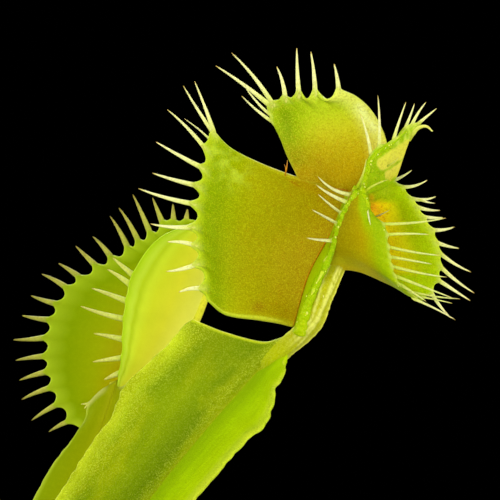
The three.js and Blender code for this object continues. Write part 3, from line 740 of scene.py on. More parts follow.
def lobe_lift(inner, seed, bumps=0.05, band=0.05):
    """The raised margin band of the inner face, and a slight unevenness of both."""

    def lift(s, t, points):
        raised = band * smooth(t, 0.78, 0.86) * (1 - 0.6 * smooth(t, 0.9, 1))
        uneven = bumps * rough(points, 1.7, seed)
        faces = (raised + uneven, uneven)
        return faces if inner > 0 else faces[::-1]

    return lift


def lobe_tones(surface, inner, stops, shade, found):
    """A lobe's colours: its own inside, the outer ones behind, and paler where its cilia grow out."""

    def tones(s, t, points, side):
        rgb, dots = ramp(t, OUTER_TONES), OUTER_DOTS
        if side == inner:
            rgb, dots = ramp(t, stops), INNER_DOTS
            if shade is not None:
                rgb, dots = shade(s, t, points, rgb)
        gap = np.min(np.abs(s[..., None] - np.array([f[0] for f in found])), axis=-1)
        root = hump(gap * surface.margin.length, 0.5)
        return tone(tint(rgb, (204, 214, 104), 0.75 * root * smooth(t, 0.93, 1)), dots)

    return tones


def away(points, one, two):
    """Distance from a line between two places, seen from the front."""
    one, two = np.array(one), np.array(two)
    way = two - one
    flat = points[..., :2] - one
    k = np.clip(flat @ way / (way @ way), 0, 1)[..., None]
    return np.linalg.norm(flat - k * way, axis=-1)


def smear(points, one, two, wide):
    """1 on a line between two places, fading out beside it."""
    return hump(away(points, one, two), wide)


# Each shade turns a lobe's plain tones into its own, and gives the strength of its red dots.


def shade_a(s, t, points, rgb):
    stain = np.exp(-(((points[..., 0] - 37.2) / 1.0) ** 2 + ((points[..., 1] - 57.3) / 0.8) ** 2))
    rgb = tint(rgb, (138, 96, 12), 0.65 * stain)
    rgb = tint(rgb, (162, 168, 16), 0.6 * smooth(s, 0.965, 1) * (1 - smooth(t, 0.75, 0.9)))
    # Painted highlight: a pale thin line along the lower edge.
    rgb = tint(rgb, (196, 214, 60), 0.6 * (smooth(s, 0.993, 1) * smooth(t, 0.05, 0.3)))
    pale = smear(points, (31.4, 81), (33.6, 77.6), 2.2)
    rgb = tint(rgb, (188, 208, 60), 0.65 * pale * smooth(rough(points, 1.1, 12), -0.5, 0.5))
    # Painted shade: darker orange-brown along the crease where lobe B meets A's upper edge.
    rgb = tint(rgb, (172, 122, 0), 0.5 * smear(points, (43.6, 76.2), (48, 74.4), 1.1))
    rgb = tint(rgb, (150, 70, 0), 0.8 * smear(points, (41.9, 76.7), (43, 76), 0.16))
    return rgb, 0.16 * (1 - smooth(t, 0.5, 0.8))


def shade_b(s, t, points, rgb):
    dull = tint(linear((126, 126, 0)), (140, 168, 0), smooth(points[..., 1], 79.5, 84.5))
    rgb = blend(rgb, dull, 0.9 * (1 - smooth(points[..., 0], 42, 47.5)) * smooth(t, 0.12, 0.3))
    rgb = tint(rgb, (206, 172, 4), 0.5 * smear(points, (50, 77), (53, 80), 2.2))
    rgb = tint(rgb, (104, 138, 0), 0.85 * smear(points, (41.3, 86.3), (41.7, 83.4), 1.3))
    # Painted highlight: the right part of the inner face is paler, and glint is a painted glint near the top
    # right.
    rgb = tint(rgb, (220, 220, 112), 0.75 * (smooth(s, 0.76, 0.97) * smooth(t, 0.15, 0.4)))
    glint = smear(points, (52.4, 87.4), (54.6, 84.4), 0.8)
    rgb = tint(rgb, (230, 236, 170), 0.8 * glint * (0.7 + 0.6 * rough(points, 0.5, 6)))
    return rgb, 0.2 * (1 - smooth(t, 0.45, 0.8))


def shade_e(s, t, points, rgb):
    level = points[..., 1] + 0.35 * rough(points, 1.5, 9)
    high = smooth(level, 72.9, 74.1) * smooth(points[..., 0], 51.8, 53)
    low = smooth(s, 0.7, 0.88)
    fold = smooth(s, 0.4, 0.75) * 0.55
    hood = tint(linear((142, 170, 0)), (160, 192, 0), smooth(points[..., 0], 56, 59))
    rgb = blend(rgb, hood, np.clip(high + low + fold, 0, 1))
    rays = rough(points * np.array([0.6, 2, 0]), 0.5, 10)
    glow = smear(points, (54.4, 72.6), (55.3, 71.5), 0.7)
    rgb = tint(rgb, (228, 142, 34), 0.7 * glow * smooth(rays, -0.5, 0.3) * (1 - high))
    rgb = tint(rgb, (214, 170, 20), 0.8 * smear(points, (53.9, 74.2), (54.1, 74), 0.35))
    red = smooth(level, 69.5, 71.5) * (1 - smooth(t, 0.45, 0.7))
    return rgb, (0.38 + 0.4 * red) * (1 - smooth(t, 0.6, 0.74)) * (1 - high)


def shade_g(s, t, points, rgb):
    uneven = 0.2 * rough(points, 0.9, 8)
    upper = away(points, (55.7, 79), (59.7, 81.8)) + uneven
    lower = away(points, (56.6, 77.4), (58.9, 79)) + uneven
    cell = np.maximum(1 - smooth(upper, 0.75, 1.1), 1 - smooth(lower, 0.6, 0.9))
    cell = cell * (1 - 0.8 * smear(points, (55.7, 77.9), (58, 79.3), 0.13))
    green = tint(linear((160, 196, 6)), (126, 170, 0), 0.5 + 0.5 * rough(points, 1.1, 9))
    streaks = rough(points * np.array([2.2, 0.6, 0]) + np.array([0, 0, 4]), 1, 14)
    tall = smooth(points[..., 0] + 0.5 * points[..., 1], 97.4, 99.4)
    green = tint(green, (200, 218, 84), tall * smooth(streaks, -0.4, 0.5))
    return blend(green, rgb, cell), 0.14 * cell


def shade_d(s, t, points, rgb):
    height, inside = points[..., 1], 1 - smooth(t, 0.4, 0.7)
    # Painted light: the lower part of the inner face is lighter yellow, standing in for light where the lobe
    # folds down.
    rgb = tint(rgb, (176, 172, 6), (1 - smooth(height, 63, 67)) * inside)
    rgb = tint(rgb, (134, 126, 0), 0.5 * smooth(height, 70, 73) * inside)
    corner = np.hypot(points[..., 0] - 48.6, height - 63.6)
    rgb = tint(rgb, (190, 186, 20), 1 - smooth(corner, 0.5, 2.4))
    # Painted light: lighter yellow near the lower end by the hinge, where the lobe folds under.
    rgb = tint(rgb, (196, 176, 0), 0.7 * smooth(s, 0.86, 1) * (1 - smooth(t, 0.3, 0.5)))
    rgb = tint(rgb, (140, 176, 0), (1 - smooth(s, 0.3, 0.5)) * smooth(t, 0.35, 0.6))
    return rgb, 0.08 * (1 - smooth(t, 0.4, 0.6))


def lobe(piece, surface, cilia, stops, inner, lift, seed, shade=None, bows=(), height=2.1, spread=0.55,
         kind=TRAP, cilium=CILIUM_TONES, **look):
    """A lobe with its cilia. inner is the side with its inner face, lift how much nearer the cilia's
    tips are than the margin, and bows how far each cilium bends, in lengths."""
    found = roots(surface, cilia, lift, height)
    sheet(piece, surface, ALONG, ACROSS, lobe_thickness,
          lobe_tones(surface, inner, stops, shade, found),
          shift=scallops(surface, found, spread), lift=lobe_lift(inner, seed), kind=kind)
    fringe(piece, found, bows, seed, stops=cilium, **look)


RIDGE_TONES = [(0, (164, 194, 0)), (0.5, (148, 190, 2)), (1, (148, 190, 2))]


def knobbly(piece, points, radius, seed, beads, knob=0.4, size=0.55):
    """A thick margin with glistening knobs along it, and pale beads on it whose colour is a painted glint."""
    steps, sides = 200, 18
    path, angle = bar(points, steps), circle(sides)
    along = np.interp(np.linspace(0, 1, steps), np.linspace(0, 1, len(radius)), radius)
    ring = np.stack([np.cos(angle) * 0.5, np.sin(angle) * 0.5, np.sin(angle) * 0.3], -1)
    spots = path[:, None] + ring * np.maximum(1, 2.4 * along)[:, None, None]
    bumps = rough(spots, size, seed) + 0.5 * rough(spots, size * 0.45, seed + 1)
    knobs = knob * np.minimum(along, 0.5)[:, None] * bumps
    tube(piece, path, along[:, None] + knobs, lambda x: tone(ramp(x, RIDGE_TONES)), sides, RIDGED)
    random = np.random.default_rng(seed)
    for _ in range(beads):
        at = int(random.uniform(0, steps))
        way = random.uniform(0, math.pi)
        bead = random.uniform(0.09, 0.2)
        spot = path[at] + along[at] * np.array([math.cos(way), 0, math.sin(way)]) * 0.95
        stretch = np.array([1, random.uniform(0.8, 1.6), 0.8]) * bead
        # The beads' pale colour is a painted glint on small knobs.
        drop(piece, spot, stretch, (226, 236, 110), RIDGED)


def ball_mesh(levels):
    made = bmesh.new()
    bmesh.ops.create_icosphere(made, subdivisions=levels, radius=1.0)
    points = np.array([v.co for v in made.verts])
    faces = [tuple(v.index for v in f.verts) for f in made.faces]
    made.free()
    return points, faces


BALL, BALL_FACES = ball_mesh(1)
ROUND, ROUND_FACES = ball_mesh(4)


def drop(piece, spot, stretch, colour, kind):
    """A small bead; the pale ones stand for a painted glint on a knob."""
    piece.add(spot + BALL * stretch, BALL_FACES, tone(linear(colour)[None]), kind)


HAIR_TONES = [(0, (176, 92, 8)), (0.5, (204, 122, 40)), (1, (220, 160, 90))]
STUB_TONES = [(0, (186, 210, 50)), (1, (216, 222, 90))]
GLASSY_TONES = [(0, (160, 184, 20)), (0.4, (192, 204, 84)), (1, (204, 208, 110))]
LOOSE_TONES = (CILIUM_TONES, HAIR_TONES, GLASSY_TONES)


def lump(piece, spot, size, seed):
    """An uneven swelling where the lobes meet."""
    uneven = 0.3 * rough(ROUND + spot, 0.9, seed) + 0.16 * rough(ROUND + spot, 0.35, seed)
    points = spot + ROUND * (1 + uneven[:, None]) * np.array([0.8, 1.1, 0.5]) * size
    rgb = tint(linear((132, 172, 0)), (172, 200, 20), np.clip(0.4 + 1.2 * uneven, 0, 1))
    piece.add(points, ROUND_FACES, tone(rgb), RIDGED)


def front_leaf():
    piece = Piece("front_leaf", "leaf_front", "leaf", LEAF_MATERIALS, upright)
    lobe(piece, LOBE_A, CILIA_A, TONES_A, inner=-1, lift=2, seed=1, shade=shade_a,
         bows=[-0.01, 0.01, -0.03, 0.01, 0.015, 0.025, 0.04, -0.05, 0.04, -0.06])
    lobe(piece, LOBE_B, CILIA_B, TONES_B, inner=1, lift=0.5, seed=2, shade=shade_b,
         bows=[-0.03, -0.04, 0.02, 0.035, 0.05, -0.01, 0.02, 0.02], kind=GRAINY)
    lobe(piece, LOBE_E, CILIA_E, TONES_E, inner=1, lift=0.8, seed=3, shade=shade_e,
         bows=[0.06, 0.09, 0.08, 0.05, 0.03, 0.06, 0.03, 0.04, 0.03, 0.0, 0.04],
         spread=0.36, height=1.2, radius=0.33)
    lobe(piece, LOBE_D, CILIA_D, TONES_D, inner=1, lift=-0.5, seed=4, shade=shade_d,
         bows=[0.03, -0.02, 0.02, 0.0, 0.02, 0.0, 0.0, 0.04, -0.03],
         spread=0.4, height=0.5, radius=0.26, kind=SOFT, cilium=CILIUM_TONES_D)
    lobe(piece, LOBE_G, CILIA_G, TONES_G, inner=1, lift=1, seed=5, shade=shade_g,
         bows=[0.03, 0.02, -0.01, 0.02, -0.04, 0.0], spread=0.4, height=0.5, radius=0.3)
    lobe(piece, LOBE_F, CILIA_F, TONES_F, inner=-1, lift=-0.5, seed=6,
         bows=[0.1, 0.04, 0.04, 0.0, 0.03], spread=0.3, height=0.5, radius=0.34, kind=SOFT)
    for bx, by, tx, ty in STUBS_F:
        spike(piece, (bx, by, 9.9), (tx, ty, 10), radius=0.26, root=0.2, rings=8, stops=STUB_TONES)
    for base, tip, radius, bow, look in LOOSE:
        spike(piece, base, tip, radius=radius, bow=bow, flat=0.8, root=0.5, stops=LOOSE_TONES[look])
    knobbly(piece, RIDGE, [1.12, 0.8, 0.5, 0.44, 0.44, 0.5], seed=11, beads=26)
    knobbly(piece, FOLD_D, [0.5, 0.5, 0.5, 0.48, 0.46, 0.44, 0.42, 0.4, 0.36, 0.28, 0.18], seed=12, beads=40)
    knobbly(piece, FOLD_G, [0.5, 0.5, 0.46, 0.42, 0.32, 0.24, 0.18], seed=13, beads=16, knob=0.6, size=0.9)
    for k, (spot, size) in enumerate(HUB_LUMPS):
        lump(piece, spot, size, 70 + k)
    vein = [(u - 0.1, v, w + 0.42) for u, v, w in HINGE_A[1:]]
    stem(piece, vein, 60, [(0, 0.1)], [(0, (192, 112, 0)), (1, (178, 124, 0))], 8)
    stem(piece, HOOK, 30, [(0, 0.1), (0.3, 0.36), (0.6, 0.27), (1, 0.1)],
         [(0, (190, 200, 40)), (0.4, (204, 212, 90)), (1, (222, 222, 130))], 10)
    stalk(piece)
    petiole(piece)
    return piece.finish()


def stalk(piece):
    """The stalk under the trap, with pale fibres that stand proud along it, a painted rim highlight down one
    side and pale beads that are painted glints.
    """
    steps, sides = 240, 60
    path = bar(STALK, steps)
    x = np.linspace(0, 1, steps)[:, None]
    turn = np.linspace(0, 360, sides, endpoint=False)[None]
    along = np.interp(x, np.linspace(0, 1, len(STALK_RADII)), STALK_RADII)
    ribs = np.zeros((steps, sides))
    for k, (at, wide, tall) in enumerate(FIBRES):
        lean = 12 * np.sin(5 * x + 1.9 * k) + 6 * np.sin(17 * x + k)
        ribs += tall * hump((turn - at - lean + 180) % 360 - 180, wide)
    spots = path[:, None] + np.stack([np.cos(np.radians(turn)), np.sin(np.radians(turn)), 0 * turn], -1)
    uneven = rough(spots, 0.5, 31)
    streaks = rough(spots * np.array([1.5, 0.7, 1.5]), 0.3, 32)
    pale = np.clip(13 * ribs * (1 + uneven + 1.1 * streaks) + 0.25 * streaks, 0, 1) * smooth(x, 0.34, 0.52)
    rgb = tint(linear((174, 174, 0)), (224, 226, 112), pale)
    rgb = blend(linear((180, 190, 0)), rgb, smooth(x, 0.3, 0.5))
    rgb = blend(linear((122, 142, 0)), rgb, smooth(x, 0.08, 0.34))
    # Painted highlight: a pale rim light down the stalk's right side.
    rim = hump((turn + 175) % 360 - 180, 26) * smooth(x, 0.14, 0.3)
    rgb = tint(rgb, (255, 255, 84), 0.75 * rim * (0.85 + 0.5 * streaks))
    rgb = tint(rgb, (176, 164, 4), smooth(x, 0.84, 0.92))
    grains = (0.35 - 0.2 * smooth(x, 0.76, 0.9)) * np.ones_like(rgb[..., 0])
    tube(piece, path, along * (1 + ribs + 0.05 * uneven), lambda _: tone(rgb, grains), sides, BLADE)
    # Pale beads on the knobbly side: their colour is a painted glint.
    random = np.random.default_rng(90)
    for _ in range(46):
        at = int(steps * random.uniform(0.42, 0.84))
        way = math.radians(random.uniform(-95, -10))
        spot = path[at] + 0.97 * along[at] * (math.cos(way) * RIGHT - math.sin(way) * NEAR_LOCAL)
        stretch = np.array([0.7, random.uniform(1, 2.4), 0.7]) * random.uniform(0.06, 0.13)
        drop(piece, spot, stretch, (236, 240, 160), RIDGED)


def blade_thickness(s, t, _):
    return 0.5 + 0.9 * hump(t, 0.1, 0.5)


def blade_shift(seed, size=1.0):
    """Slow waves of the wings, none at the rib."""

    def shift(s, t, points):
        off = np.abs(2 * t - 1)
        wave = 0.55 * rough(points, 9, seed) + 0.25 * rough(points, 3.5, seed + 1)
        out = np.zeros_like(points)
        out[..., 2] = size * wave * smooth(off, 0.05, 0.6)
        out[..., 0] = 0.3 * size * rough(points, 1.3, seed + 2) * smooth(off, 0.93, 1)
        return out

    return shift


def blade_lift(s, t, points):
    """The rib stands proud behind, with a groove beside it."""
    off = np.abs(t - 0.5)
    front = 0.3 * hump(off, 0.018) - 0.12 * hump(off, 0.02, 0.05)
    veins = 0.02 * np.sin(2 * math.pi * (t * 17 + 0.4 * np.sin(5 * s)))
    return front + veins, veins


BLADE_LEFT_TONES = [
    (0, (150, 168, 8)), (0.08, (132, 156, 0)), (0.18, (104, 132, 0)), (0.32, (112, 140, 0)),
    (0.5, (132, 156, 0)), (0.78, (116, 144, 0)), (0.9, (164, 184, 16)), (1, (194, 208, 30)),
]
WING_TONES = [
    (0, (146, 176, 0)), (0.12, (140, 176, 0)), (0.4, (172, 206, 0)), (0.8, (182, 210, 0)),
    (1, (200, 216, 40)),
]


def blade_tones(s, t, points, side):
    """The left half with its grainy cells in front, the right one plainer, a pale rib between."""
    off = 2 * np.abs(t - 0.5)
    along = points[..., 0] * 0.62 + points[..., 1] * 0.78
    across = points[..., 0] * 0.78 - points[..., 1] * 0.62
    grown = np.stack([along / 3, across, points[..., 2]], axis=-1)
    patches = rough(grown, 3.4, 3) + 0.6 * rough(grown, 1.4, 4) + 0.3 * rough(points, 0.8, 6)
    left = ramp(off, BLADE_LEFT_TONES)
    left = tint(left, (154, 168, 0), 0.85 * smooth(patches, -0.3, 0.6))
    left = tint(left, (96, 122, 0), 0.6 * smooth(s, 0.8, 0.97) * (1 - smooth(off, 0.6, 0.9)))
    left = tint(left, (118, 138, 0), 0.75 * smear(points, (27.4, 55), (31.4, 52.4), 2))
    left = tint(left, (206, 216, 30), 0.7 * smooth(s, 0.995, 1))
    right = tint(ramp(off, WING_TONES), (150, 186, 0), 0.5 * smooth(patches, -0.2, 0.7))
    streaks = rough(np.stack([along / 12, across, points[..., 2] * 0], axis=-1), 1.1, 15)
    right = tint(right, (128, 166, 0), 0.35 * smooth(streaks, 0, 0.5) * (1 - smooth(off, 0.4, 0.6)))
    rgb = np.where((t < 0.5)[..., None], left, right)
    rgb = tint(rgb, (172, 184, 10), 0.7 * hump(off, 0.045))
    rgb = tint(rgb, (140, 158, 0), 0.9 * smooth(s, 0.9, 0.99) * (1 - smooth(off, 0.1, 0.3)))
    # The pale cells, stronger towards the left edge, are partly painted sparkle highlights.
    cells = 0.2 + 0.3 * smooth(off, 0.66, 0.9) + 0.24 * hump(off, 0.08, 0.14)
    cells = cells + 0.1 * smooth(patches, 0.1, 0.8) + 0.2 * (1 - smooth(s, 0.3, 0.5))
    front_left = (t < 0.5) & (side < 0)
    return tone(rgb, np.where(front_left, np.clip(cells, 0, 1), 0.06 + 0.6 * smooth(off, 0.8, 1)))


def petiole(piece):
    across = spaced((0, 46), (0.42, 24), (0.58, 34))
    sheet(piece, pair(BLADE_LEFT, BLADE_RIGHT), np.linspace(0, 1, 231), across, blade_thickness,
          blade_tones, shift=blade_shift(5), lift=blade_lift, kind=BLADE)
    keel(piece, RIB, 0.75, 60, (176, 188, 30), 16)


def keel(piece, rib, depth, steps, end, sides):
    """The round ridge behind a petiole's rib."""
    behind = [(u, v, w - depth) for u, v, w in rib]
    stem(piece, behind, steps, [(0, 1)], [(0, (176, 190, 60)), (1, end)], sides)


# ---- The back leaf ----

BACK_HINGE = [(14.2, 42.4, -17), (20.2, 45.6, -18), (24.9, 50.7, -19), (28.8, 58.9, -20),
              (30, 65.5, -20.5), (28.6, 69.8, -21)]
BACK_NEAR = patch(
    BACK_HINGE,
    [(15.2, 43.6, -16), (16.4, 49.7, -13), (16.7, 55.3, -12), (18.2, 62.3, -12.5), (22, 67.7, -15.5),
     (28.1, 70.2, -19.8)],
    bulge=1.8,
)
CILIA_BACK_NEAR = [
    (16.3, 46.9, 13.4, 45.9), (16.2, 49.4, 11.7, 48.7), (16.2, 52.2, 11.9, 53.1),
    (16.5, 55.3, 9.9, 57.3), (17, 58.1, 11.6, 60.1), (17.5, 60.6, 14, 63), (17.9, 62.1, 14.8, 64.8),
]
BACK_FAR = patch(
    BACK_HINGE,
    [(10.6, 37.6, -17.6), (8.5, 39.6, -18.8), (7, 42, -20.6), (5.6, 45.6, -22), (5, 52.6, -24),
     (8.2, 59.6, -25), (15.1, 64, -25.5), (18.7, 65.9, -25.3), (21, 67.6, -24.8), (23.2, 69.3, -24),
     (27.2, 70.5, -22.6)],
    bulge=-3,
)
CILIA_BACK_FAR = [
    (8.3, 39.6, 4.7, 37.7), (6.4, 42.3, 1.9, 39.4), (5.5, 44.8, 0.3, 42.6), (4.7, 47.2, -0.1, 45.6),
    (4.3, 49.4, -0.7, 48.7), (4.6, 52.3, -1.1, 51.9), (5.1, 55, 0.2, 55.7), (6.1, 57.4, 1.6, 58.8),
    (7.9, 59.7, 3.3, 62.2), (9.7, 61.6, 5.9, 63.9), (12.1, 63.5, 8.6, 66.6), (14.6, 64.4, 11.3, 68.1),
    (17.2, 65.5, 14, 71.3), (18.8, 66.6, 15.4, 72.6), (20.6, 67.7, 17.6, 74.7), (22, 70, 20.7, 74.2),
    (23.8, 70.2, 23.9, 73.2), (25.9, 70.4, 26.2, 72.4),
]
FAR_BOWS = [0.03, 0.02, 0.03, 0.02, 0.02, -0.02, -0.02, -0.02, 0.03, 0.02, 0.0, 0.03, 0.03, 0.03, 0.01,
            0.0, 0.0, 0.0]
BACK_RIB = [(1.6, -0.9, -5.6), (3.6, 6.8, -7), (7.3, 20.8, -11), (11.2, 33, -14), (15.2, 45.2, -15.4)]
BACK_LEFT = patch(
    BACK_RIB,
    [(0.5, -0.6, -5.4), (-1.2, 6.9, -6.4), (0.4, 20.9, -9.5), (5, 31.8, -12.6), (8.7, 36.9, -13.6),
     (10.5, 39.6, -14.6), (11, 42.2, -15)],
    end=[(13, 44.2, -15)],
)
BACK_RIGHT = patch(
    BACK_RIB,
    [(2.8, -0.6, -5.4), (5.9, 6.9, -6.4), (11.4, 19.4, -9), (17.1, 31, -12), (18.8, 40.4, -14),
     (16.8, 45.4, -15.2)],
)
# Partly painted light: the pale yellow towards the hinge is the lobe's own colour, made lighter to stand in
# for light shining through it.
TONES_NEAR = [
    (0, (234, 234, 100)), (0.4, (226, 224, 56)), (0.62, (212, 218, 46)), (0.74, (208, 222, 54)),
    (0.84, (190, 210, 36)), (0.9, (194, 216, 62)), (1, (172, 204, 24)),
]
TONES_FAR = [
    (0, (158, 138, 0)), (0.35, (166, 154, 0)), (0.6, (150, 162, 0)), (0.85, (136, 161, 0)),
    (1, (168, 191, 36)),
]
CILIUM_TONES_NEAR = [
    (0, (192, 206, 84)), (0.3, (212, 218, 118)), (0.9, (208, 206, 116)), (1, (190, 170, 90)),
]
CILIUM_TONES_FAR = [(0, (170, 182, 72)), (0.3, (182, 182, 90)), (0.8, (164, 160, 88)), (1, (136, 122, 60))]
BACK_BLADE_TONES = [(0, (152, 156, 4)), (0.3, (136, 148, 0)), (0.9, (130, 150, 4)), (1, (162, 180, 40))]


def back_blade_tones(s, t, points, side):
    off = 2 * np.abs(t - 0.5)
    rgb = ramp(off, BACK_BLADE_TONES)
    return tone(tint(rgb, (206, 206, 120), 0.6 * smooth(s, 0.975, 1) * smooth(off, 0.2, 0.5)))


def back_leaf():
    piece = Piece("back_leaf", "leaf_back", "leaf", LEAF_MATERIALS, upright)
    for surface, cilia, bows, stops, lift, seed, band, height, pale in (
        (BACK_NEAR, CILIA_BACK_NEAR, (), TONES_NEAR, -0.5, 21, 0.12, 0.25, CILIUM_TONES_NEAR),
        (BACK_FAR, CILIA_BACK_FAR, FAR_BOWS, TONES_FAR, 1, 22, 0, 1.8, CILIUM_TONES_FAR),
    ):
        found = roots(surface, cilia, lift, height)
        sheet(piece, surface, ALONG, ACROSS, lobe_thickness, lambda s, t, p, side: tone(ramp(t, stops)),
              shift=scallops(surface, found, reach=0.75), lift=lobe_lift(1, seed, 0.02, band), kind=CALM)
        fringe(piece, found, bows, seed, radius=0.49, stops=pale)
    for tip in ((9.8, 42.1, -14.7), (10.3, 41.4, -14.7)):
        spike(piece, (11, 42.2, -14.9), tip, radius=0.22, flat=0.5, root=0.3, stops=CILIUM_TONES_NEAR)
    widths = [(0, 0.4), (0.2, 0.9), (0.4, 1), (0.6, 0.9), (0.8, 0.8), (1, 0.6)]
    # The hinge is painted as pale as the near lobe's painted glow.
    stem(piece, BACK_HINGE, 60, widths, [(0, (226, 226, 60)), (1, (234, 232, 64))])
    sheet(piece, pair(BACK_LEFT, BACK_RIGHT), np.linspace(0, 1, 121), spaced((0, 16), (0.42, 12), (0.58, 17)),
          blade_thickness, back_blade_tones, shift=blade_shift(8, 0.5), lift=blade_lift, kind=CALM)
    keel(piece, BACK_RIB, 0.7, 50, (190, 194, 40), 14)
    return piece.finish()


# ---- The rosette ----

# Node, turn, reach, rise, half width, trap's length, spread of each lobe and tilt; degrees and mm.
ROSETTE = [
    ("leaf_left", 176, 30, 33, 6.5, 21, 32, 48),
    ("leaf_left_low", 210, 30, 11, 6, 17, 40, 8),
    ("leaf_front_low", 248, 25, 10, 5.5, 15, 36, 14),
    ("leaf_right_low", 294, 29, 11, 6, 18, 42, 10),
    ("leaf_rear_right", 28, 25, 9, 5.5, 13, 30, 12),
    ("leaf_rear", 110, 27, 11, 6, 17, 38, 14),
    ("leaf_rear_left", 143, 24, 9, 5, 12, 24, 22),
]
ROSETTE_START = 5.0
ROSETTE_SINK = 1.6
# Along a petiole: shares of its reach and rise, the share of its half width, and how high its edge is.
STATIONS = [(0.3, 0.34, 0.55, 1.2), (0.68, 0.78, 1, 2)]
WING_START = (1.2, 0.3)
WING_END = (0.06, 0.62, 1)
NECK = 0.6
LOBE_REACH, LOBE_ENDS, LOBE_CUP, LOBE_ROUNDNESS, HINGE_SAG = 0.56, 0.1, 0.1, 0.7, 0.1
CILIUM_REACH, CILIA_FAN = 0.3, 0.5
ROSETTE_CILIA = 13
ROSETTE_INNER = [
    (0, (176, 70, 20)), (0.3, (196, 112, 24)), (0.6, (190, 150, 20)), (0.78, (160, 174, 10)),
    (0.9, (142, 178, 10)), (1, (176, 204, 44)),
]
ROSETTE_OUTER = [(0, (140, 170, 24)), (0.6, (150, 178, 20)), (0.9, (136, 176, 14)), (1, (172, 200, 44))]
ROSETTE_BLADE = [(0, (112, 142, 10)), (0.5, (122, 156, 14)), (1, (150, 180, 40))]


def rosette_leaf(number, node, turn, reach, rise, width, trap, spread, tilt):
    """A small leaf of the rosette: a winged petiole and a trap of two lobes."""
    place = lambda p: (p @ spin(math.radians(turn)) + [0, 0, PLANT_HEIGHT]) * MM
    name = node.replace("leaf_", "rosette_")
    piece = Piece(name, node, "leaf", LEAF_MATERIALS, place)
    far = ROSETTE_START + reach
    rib = [(ROSETTE_START, 0, -ROSETTE_SINK)]
    rib += [(ROSETTE_START + reach * out, 0, rise * up) for out, up, _, _ in STATIONS]
    rib += [(far, 0, rise)]

    def wing(side):
        """The edge of the petiole on one side."""
        rows = [(ROSETTE_START, side * WING_START[0], WING_START[1] - ROSETTE_SINK)]
        for out, up, wide, lift in STATIONS:
            rows.append((ROSETTE_START + reach * out, side * width * wide, rise * up + lift))
        back, wide, lift = WING_END
        rows.append((far - reach * back, side * width * wide, rise + lift))
        return rows

    slope, opened = math.radians(tilt), math.radians(spread)
    along = np.array([math.cos(slope), 0, math.sin(slope)])
    above = np.array([-math.sin(slope), 0, math.cos(slope)])
    foot = np.array([far + NECK, 0, rise])

    def at(share, height, side):
        """A place on a lobe, by its share of the hinge and its height above it."""
        share, height = np.asarray(share, float), np.asarray(height, float)
        sag = trap * HINGE_SAG * (1 - (2 * share - 1) ** 2)
        spot = foot + along * (share * trap)[..., None]
        spot = spot + above * (height * math.cos(opened) - sag)[..., None]
        spot[..., 1] += side * height * math.sin(opened)
        return spot

    def tall(share):
        """A lobe's height at a share of the hinge."""
        rounded = np.sin(math.pi * np.clip(share, 0, 1)) ** LOBE_ROUNDNESS
        return trap * (LOBE_ENDS + (LOBE_REACH - LOBE_ENDS) * rounded)

    hinge = [at(k, 0, 1) for k in (0, 0.25, 0.5, 0.75, 1)]
    s = np.linspace(0, 1, 91)
    t = spaced((0, 16), (0.8, 14))
    for side in (1, -1):
        margin = [at(k, tall(k), side) for k in (0, 0.2, 0.5, 0.8, 1)]
        flat = patch(hinge, margin)

        def cupped(s, t, side=side, flat=flat):
            points = flat(s, t)
            points[..., 1] += side * trap * LOBE_CUP * 4 * t * (1 - t) * np.sin(math.pi * s)
            return points

        cupped.margin, cupped.width = flat.margin, trap * 0.5
        found = []
        for k in range(ROSETTE_CILIA):
            share = 0.06 + 0.88 * k / (ROSETTE_CILIA - 1)
            base = flat.margin(share)
            tip = at(share + (share - 0.5) * CILIA_FAN, tall(share) + trap * CILIUM_REACH, side)
            found.append((share, base, tip, unit(tip - base), 0.9, normal_at(cupped, share)))
        # The first face of the sheet points down on the near side, so the lobes' faces differ.
        inner = -side
        sheet(piece, cupped, s, t, lambda s, t, p: 0.7 - 0.3 * smooth(t, 0.4, 1),
              rosette_tones(inner), shift=scallops(cupped, found, 0.4, 0.6, 0.12),
              lift=lobe_lift(inner, 30 + number, 0.03))
        fringe(piece, found, (), 40 + number, radius=0.28, rings=10, sides=8, root=0.4)
    wings = pair(patch(rib, wing(1)), patch(rib, wing(-1)))
    sheet(piece, wings, np.linspace(0, 1, 61), np.linspace(0, 1, 41), blade_thickness,
          rosette_blade_tones, shift=blade_shift(50 + number, 0.45), lift=blade_lift, kind=BLADE)
    neck = [rib[-2], rib[-1], foot, at(0.12, 0, 1), at(0.5, 0, 1), at(0.97, 0, 1)]
    widths = [(0, 0.7), (0.2, 1.1), (0.4, 1.1), (0.7, 0.75), (1, 0.45)]
    stem(piece, neck, 60, widths, [(0, (150, 172, 40)), (1, (166, 170, 40))])
    return piece.finish()


def rosette_tones(inner):
    def tones(s, t, points, side):
        if side == inner:
            return tone(ramp(t, ROSETTE_INNER), 0.7 * (1 - smooth(t, 0.4, 0.75)))
        return tone(ramp(t, ROSETTE_OUTER), 0.02)

    return tones


def rosette_blade_tones(s, t, points, side):
    off = 2 * np.abs(t - 0.5)
    rgb = tint(ramp(off, ROSETTE_BLADE), (206, 206, 150), 0.85 * (1 - smooth(s, 0.02, 0.25)))
    return tone(tint(rgb, (170, 182, 50), 0.8 * hump(off, 0.06)), 0.03)


# ---- The crown ----


CROWN_HEIGHT = 71.3
CROWN_SCALES = 11
SCALE_TURN = 2.4  # radians from one scale to the next
CROWN_TONES = [(0, (226, 222, 190)), (0.5, (206, 212, 140)), (1, (160, 182, 60))]


